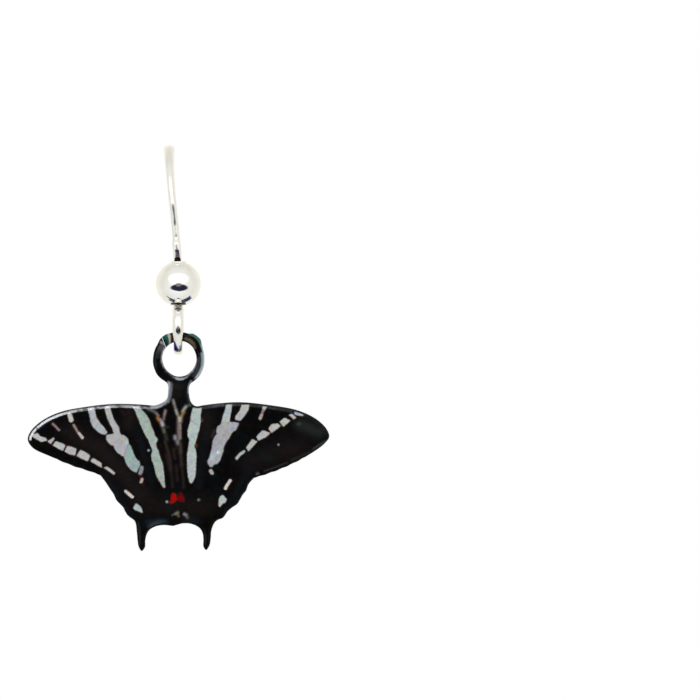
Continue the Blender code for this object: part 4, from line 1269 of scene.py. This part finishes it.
def charm_material():
    """Black coated metal with printed marks under patches of clear gloss. The
    marks' edges come from the mesh's distance values, roughened by noise."""
    mat, g, shader, co = new_material("black_coat_print")

    def attribute(name, out):
        n = g.node("ShaderNodeAttribute", attribute_name=name)
        return n.outputs[out]

    ground, tint = attribute("ground", "Color"), attribute("tint", "Color")
    edge, gloss = attribute("edge", "Fac"), attribute("gloss", "Fac")
    big = g.noise(co, 420.0, 3.0, 0.55)
    mid = g.noise(co, 1500.0, 3.0, 0.6)
    fine = g.noise(co, 5200.0, 3.0, 0.6)
    grain = g.noise(co, 13000.0, 2.0, 0.6)

    # marks: the edge wanders a few hundredths of a millimetre
    ragged = g.math('ADD', edge, g.math('MULTIPLY', g.math('SUBTRACT', fine, 0.5), 0.10))
    ragged = g.math('ADD', ragged, g.math('MULTIPLY', g.math('SUBTRACT', grain, 0.5), 0.03))
    mask = g.ramp(ragged, -0.060, 0.065)
    fringe = g.math('MULTIPLY', g.ramp(ragged, -0.16, -0.04),
                    g.math('SUBTRACT', 1.0, mask))
    fringe = g.math('MULTIPLY', fringe, g.ramp(mid, 0.42, 0.62))

    # faint specks of every hue, in the ink and in the black
    hues = g.node("ShaderNodeTexNoise")
    g.link(co, hues.inputs["Vector"])
    for key, value in (("Scale", 2100.0), ("Detail", 2.0), ("Roughness", 0.60), ("Distortion", 0.3)):
        hues.inputs[key].default_value = value
    peaks = g.mix(1.0, hues.outputs["Color"], hues.outputs["Color"], 'MULTIPLY')
    peaks = g.mix(1.0, peaks, peaks, 'MULTIPLY')

    # ground: near black with faint brown and blue-green clouds
    warm = g.mix(g.ramp(big, 0.50, 0.72), ground, (0.0018, 0.0009, 0.0008), 'ADD')
    warm = g.mix(g.ramp(mid, 0.62, 0.8, 0.0, 0.25), warm, (0.0090, 0.0045, 0.0040))
    cold = g.mix(g.ramp(big, 0.48, 0.30), warm, (0.000, 0.0014, 0.0020), 'ADD')
    speck = g.ramp(fine, 0.70, 0.80, 0.0, 0.22)
    black = g.mix(speck, cold, (0.018, 0.017, 0.018))
    black = g.mix(0.016, black, peaks, 'ADD')
    black = g.mix(g.math('MULTIPLY', fringe, 0.70), black, (0.060, 0.022, 0.016))

    # ink: cloudy, with paler and greener spots and a little of the black through it
    patch = g.noise(g.stretched(co, (1.0, 1.0, 0.6)), 1300.0, 3.0, 0.55, 0.6)
    ink = g.mix(g.ramp(patch, 0.35, 0.70, 0.0, 0.50), tint, (0.43, 0.57, 0.53), 'SOFT_LIGHT')
    ink = g.mix(g.ramp(big, 0.40, 0.66, 0.0, 0.40), ink, (0.60, 0.51, 0.55), 'SOFT_LIGHT')
    hue_patch = g.noise(g.stretched(co, (1.0, 1.0, 0.8), (0.0, 0.7, 0.0)), 1900.0, 2.0, 0.5, 0.4)
    ink = g.mix(g.ramp(hue_patch, 0.56, 0.70, 0.0, 0.55), ink, (0.62, 0.58, 0.42), 'SOFT_LIGHT')
    ink = g.mix(g.ramp(hue_patch, 0.44, 0.32, 0.0, 0.60), ink, (0.46, 0.50, 0.66), 'SOFT_LIGHT')
    ink = g.mix(0.36, ink, hues.outputs["Color"], 'OVERLAY')
    shade = g.ramp(fine, 0.30, 0.72, 0.92, 1.10)
    shade_rgb = g.node("ShaderNodeCombineColor")
    for i in range(3):
        g.link(shade, shade_rgb.inputs[i])
    ink = g.mix(1.0, ink, shade_rgb.outputs[0], 'MULTIPLY')
    g.link(g.mix(mask, black, ink), shader.inputs["Base Color"])

    rough = g.ramp(mid, 0.30, 0.70, 0.36, 0.46)
    rough = g.math('ADD', rough, g.math('MULTIPLY', mask, 0.06))
    g.link(rough, shader.inputs["Roughness"])
    shader.inputs["Specular IOR Level"].default_value = 0.02
    broken = g.ramp(g.math('ADD', mid, g.math('MULTIPLY', gloss, 0.16)), 0.50, 0.62, 0.30, 1.0)
    coat = g.math('MULTIPLY', gloss, broken)
    coat = g.math('MULTIPLY', coat, g.ramp(fine, 0.28, 0.50, 0.75, 1.0), clamp=True)
    g.link(coat, shader.inputs["Coat Weight"])
    shader.inputs["Coat Roughness"].default_value = 0.12
    shader.inputs["Coat IOR"].default_value = 1.5

    height = g.math('ADD', g.math('MULTIPLY', mask, 0.55), g.math('MULTIPLY', fine, 0.22))
    height = g.math('ADD', height, g.math('MULTIPLY', grain, 0.08))
    normal = g.bump(height, 0.0000060, 1.0)
    peel = g.bump(mid, 0.0000060, 1.0, normal)
    g.link(peel, shader.inputs["Normal"])
    g.link(g.bump(mid, 0.0000080, 1.0), shader.inputs["Coat Normal"])
    return mat


# ---- camera --------------------------------------------------------------------------
LENS = 1200.0
FRAME_WIDTH = 62.893          # millimetres across the picture at the charm's face
AIM = (16.293, -5.3, -17.884)

cam_data = bpy.data.cameras.new("camera")
cam_data.lens = LENS
cam_data.sensor_width = 36.0
distance = FRAME_WIDTH * LENS / 36.0
cam_data.clip_start, cam_data.clip_end = 0.1, 10.0
camera = bpy.data.objects.new("camera", cam_data)
bpy.context.scene.collection.objects.link(camera)
camera.location = (AIM[0] * MM, (AIM[1] - distance) * MM, AIM[2] * MM)
camera.rotation_euler = (math.pi / 2, 0.0, 0.0)
bpy.context.scene.camera = camera

# ---- charm ----------------------------------------------------------------------------
silver_wire = silver_material("silver_wire", 0.13, (0.93, 0.915, 0.875))
silver_bead = silver_material("silver_ball", 0.05, (0.95, 0.935, 0.90))
black_coat = charm_material()

verts, tris, ground, tint, edge, gloss = charm_mesh()
charm = make_mesh("charm_skin", verts, tris, black_coat)
colour_attribute(charm.data, "ground", ground)
colour_attribute(charm.data, "tint", tint)
float_attribute(charm.data, "edge", edge)
float_attribute(charm.data, "gloss", gloss)
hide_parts("charm")
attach(charm, "pendant")

v, f, dark, blue_sheen, haze = wire_mesh()
wire = make_mesh("ear_wire_skin", v, f, silver_wire)
float_attribute(wire.data, "tarnish_and_shade", dark)
float_attribute(wire.data, "blue_sheen", blue_sheen)
float_attribute(wire.data, "haze", haze)
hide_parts("ear_wire")
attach(wire, "hook")

v, f, dark = bead_mesh()
bead = make_mesh("bead_skin", v, f, silver_bead)
float_attribute(bead.data, "tarnish_and_shade", dark)
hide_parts("bead")
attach(bead, "ball")

# ---- floor ------------------------------------------------------------------------------
FLOOR_Z = -60.0
FLOOR_RADIUS = 330.0
rings_, spokes = (0.0, 60.0, 140.0, 230.0, FLOOR_RADIUS), 96
fv, ff = [(0.0, 0.0, FLOOR_Z)], []
for r_ in rings_[1:]:
    fv += [(r_ * math.cos(2 * math.pi * k / spokes), r_ * math.sin(2 * math.pi * k / spokes), FLOOR_Z)
           for k in range(spokes)]
for k in range(spokes):
    ff.append((0, 1 + k, 1 + (k + 1) % spokes))
for q in range(len(rings_) - 2):
    a, b = 1 + q * spokes, 1 + (q + 1) * spokes
    for k in range(spokes):
        m = (k + 1) % spokes
        ff.append((a + k, b + k, b + m, a + m))
floor_mat, g, shader, co = new_material("pale_floor")
paper = g.noise(co, 160.0, 4.0, 0.6)
g.link(g.mix(g.ramp(paper, 0.3, 0.7), (0.93, 0.93, 0.925), (0.90, 0.90, 0.895)), shader.inputs["Base Color"])
g.link(g.ramp(paper, 0.3, 0.7, 0.85, 0.95), shader.inputs["Roughness"])
g.link(g.bump(paper, 0.00002), shader.inputs["Normal"])
shader.inputs["Specular IOR Level"].default_value = 0.1
shader.inputs["Emission Color"].default_value = (1.0, 1.0, 1.0, 1.0)
shader.inputs["Emission Strength"].default_value = 0.22
floor = make_mesh("floor", fv, ff, floor_mat)
floor.visible_diffuse = False
floor.visible_glossy = False

# ---- gloss lights ---------------------------------------------------------------------------
# Long softboxes that only the charm's clear gloss sees: they draw the light
# line on its upper rims and the sheen on its ring.
lit = bpy.data.collections.new("gloss_receivers")
lit.objects.link(charm)


def softbox(name, off_deg, clock_deg, size, distance, radiance, colour):
    """A rectangle of light aimed at the charm: off_deg away from the view
    along +Y, clock_deg anticlockwise from +X as the camera sees it."""
    target = Vector((0.001, LEG_Y * MM, -0.027))
    off, clock = math.radians(off_deg), math.radians(clock_deg)
    way = Vector((math.sin(off) * math.cos(clock), -math.cos(off), math.sin(off) * math.sin(clock)))
    data = bpy.data.lights.new(name, 'AREA')
    data.shape = 'RECTANGLE'
    data.size, data.size_y = size
    # a one-sided rectangle of area A that sends out radiance L has power pi * A * L
    data.energy = math.pi * size[0] * size[1] * radiance
    data.color = colour
    data.use_shadow = True
    lamp = bpy.data.objects.new(name, data)
    bpy.context.scene.collection.objects.link(lamp)
    lamp.location = target + way * distance
    # local -Z looks at the target, local X runs along the clock direction's tangent
    z_axis = way
    x_axis = Vector((-math.sin(clock), 0.0, math.cos(clock)))
    y_axis = z_axis.cross(x_axis)
    lamp.rotation_euler = Matrix((x_axis, y_axis, z_axis)).transposed().to_euler()
    lamp.visible_camera = False
    lamp.visible_diffuse = False
    lamp.light_linking.receiver_collection = lit
    return lamp


KEY_RADIANCE = 18.0
SIDE_RADIANCE = 6.0
for k, clock in enumerate((175.0, 135.0, 95.0)):
    softbox(f"key_{k}", 64.0, clock, (0.20, 0.105), 0.30, KEY_RADIANCE, (0.93, 0.95, 1.0))
for k, clock in enumerate((80.0, 20.0, -40.0)):
    softbox(f"side_{k}", 92.0, clock, (0.28, 0.14), 0.30, SIDE_RADIANCE, (0.90, 0.95, 1.0))

# ---- light tent ---------------------------------------------------------------------------
# A white tent round the earring, a little greyer towards the sides and warm
# behind, with a dark opening low in front.
world = bpy.data.worlds.new("light_tent")
bpy.context.scene.world = world
world.use_nodes = True
g = Graph(world.node_tree)
out = g.node("ShaderNodeOutputWorld")
direction = g.node("ShaderNodeTexCoord").outputs["Generated"]
sep = g.node("ShaderNodeSeparateXYZ")
g.link(direction, sep.inputs[0])
x, y, z = sep.outputs
az = g.math('MULTIPLY', g.math('ARCTAN2', x, g.math('MULTIPLY', y, -1.0)), 180.0 / math.pi)
el = g.math('MULTIPLY', g.math('ARCSINE', z), 180.0 / math.pi)
off = g.math('MULTIPLY', g.math('ARCCOSINE', g.math('MULTIPLY', y, -1.0)), 180.0 / math.pi)
clock = g.math('MULTIPLY', g.math('ARCTAN2', z, x), 180.0 / math.pi)


def band(value, middle, half, soft):
    """1 within half of the middle, easing to 0 over soft."""
    return g.ramp(g.math('ABSOLUTE', g.math('SUBTRACT', value, middle)), half + soft, half)


def oval(az_mid, az_half, el_mid, el_half, soft, point=2.0):
    """1 inside an ellipse of directions, 0 outside; its ends turn pointed as
    the last number falls to 1."""
    a = g.math('ABSOLUTE', g.math('DIVIDE', g.math('SUBTRACT', az, az_mid), az_half))
    a = g.math('POWER', a, point)
    b = g.math('POWER', g.math('DIVIDE', g.math('SUBTRACT', el, el_mid), el_half), 2.0)
    return g.ramp(g.math('ADD', a, b), 1.0 + soft, 1.0 - soft)


tent = g.mix(g.ramp(off, 32.0, 62.0), (1.02, 1.02, 1.01), (0.90, 0.915, 0.905))
tent = g.mix(g.ramp(off, 62.0, 88.0), tent, (0.84, 0.855, 0.83))
tent = g.mix(g.ramp(off, 98.0, 125.0), tent, (0.93, 0.91, 0.84))
tent = g.mix(g.ramp(off, 142.0, 160.0), tent, (0.98, 0.97, 0.92))
high = g.math('MULTIPLY', g.ramp(el, 22.0, 55.0), g.ramp(off, 84.0, 112.0, 0.0, 0.35))
tent = g.mix(high, tent, (0.60, 0.58, 0.54))
tent = g.mix(oval(1.0, 57.0, 27.0, 29.0, 0.35), tent, (1.25, 1.26, 1.27))
tent = g.mix(oval(5.0, 48.0, -19.6, 19.4, 0.24, 1.35), tent, (0.018, 0.022, 0.055))
bump_glow = g.math('MULTIPLY', oval(1.0, 15.0, -4.0, 10.0, 0.7), g.ramp(el, 9.0, 0.0))
tent = g.mix(bump_glow, tent, (0.25, 0.20, 0.22))
navy = g.math('MAXIMUM',
              g.math('MULTIPLY', band(off, 109.0, 9.0, 6.0), band(clock, -64.0, 13.0, 9.0)),
              g.math('MULTIPLY', g.math('MULTIPLY', band(off, 103.0, 9.0, 7.0), band(clock, -108.0, 9.0, 8.0)), 0.85))
tent = g.mix(navy, tent, (0.03, 0.04, 0.16))
seen = g.node("ShaderNodeLightPath").outputs["Is Camera Ray"]
tent = g.mix(seen, tent, (1.0, 1.0, 1.0))
back = g.node("ShaderNodeBackground")
g.link(tent, back.inputs["Color"])
back.inputs["Strength"].default_value = 1.0
g.link(back.outputs[0], out.inputs[0])

bpy.context.scene.view_settings.view_transform = 'Standard'
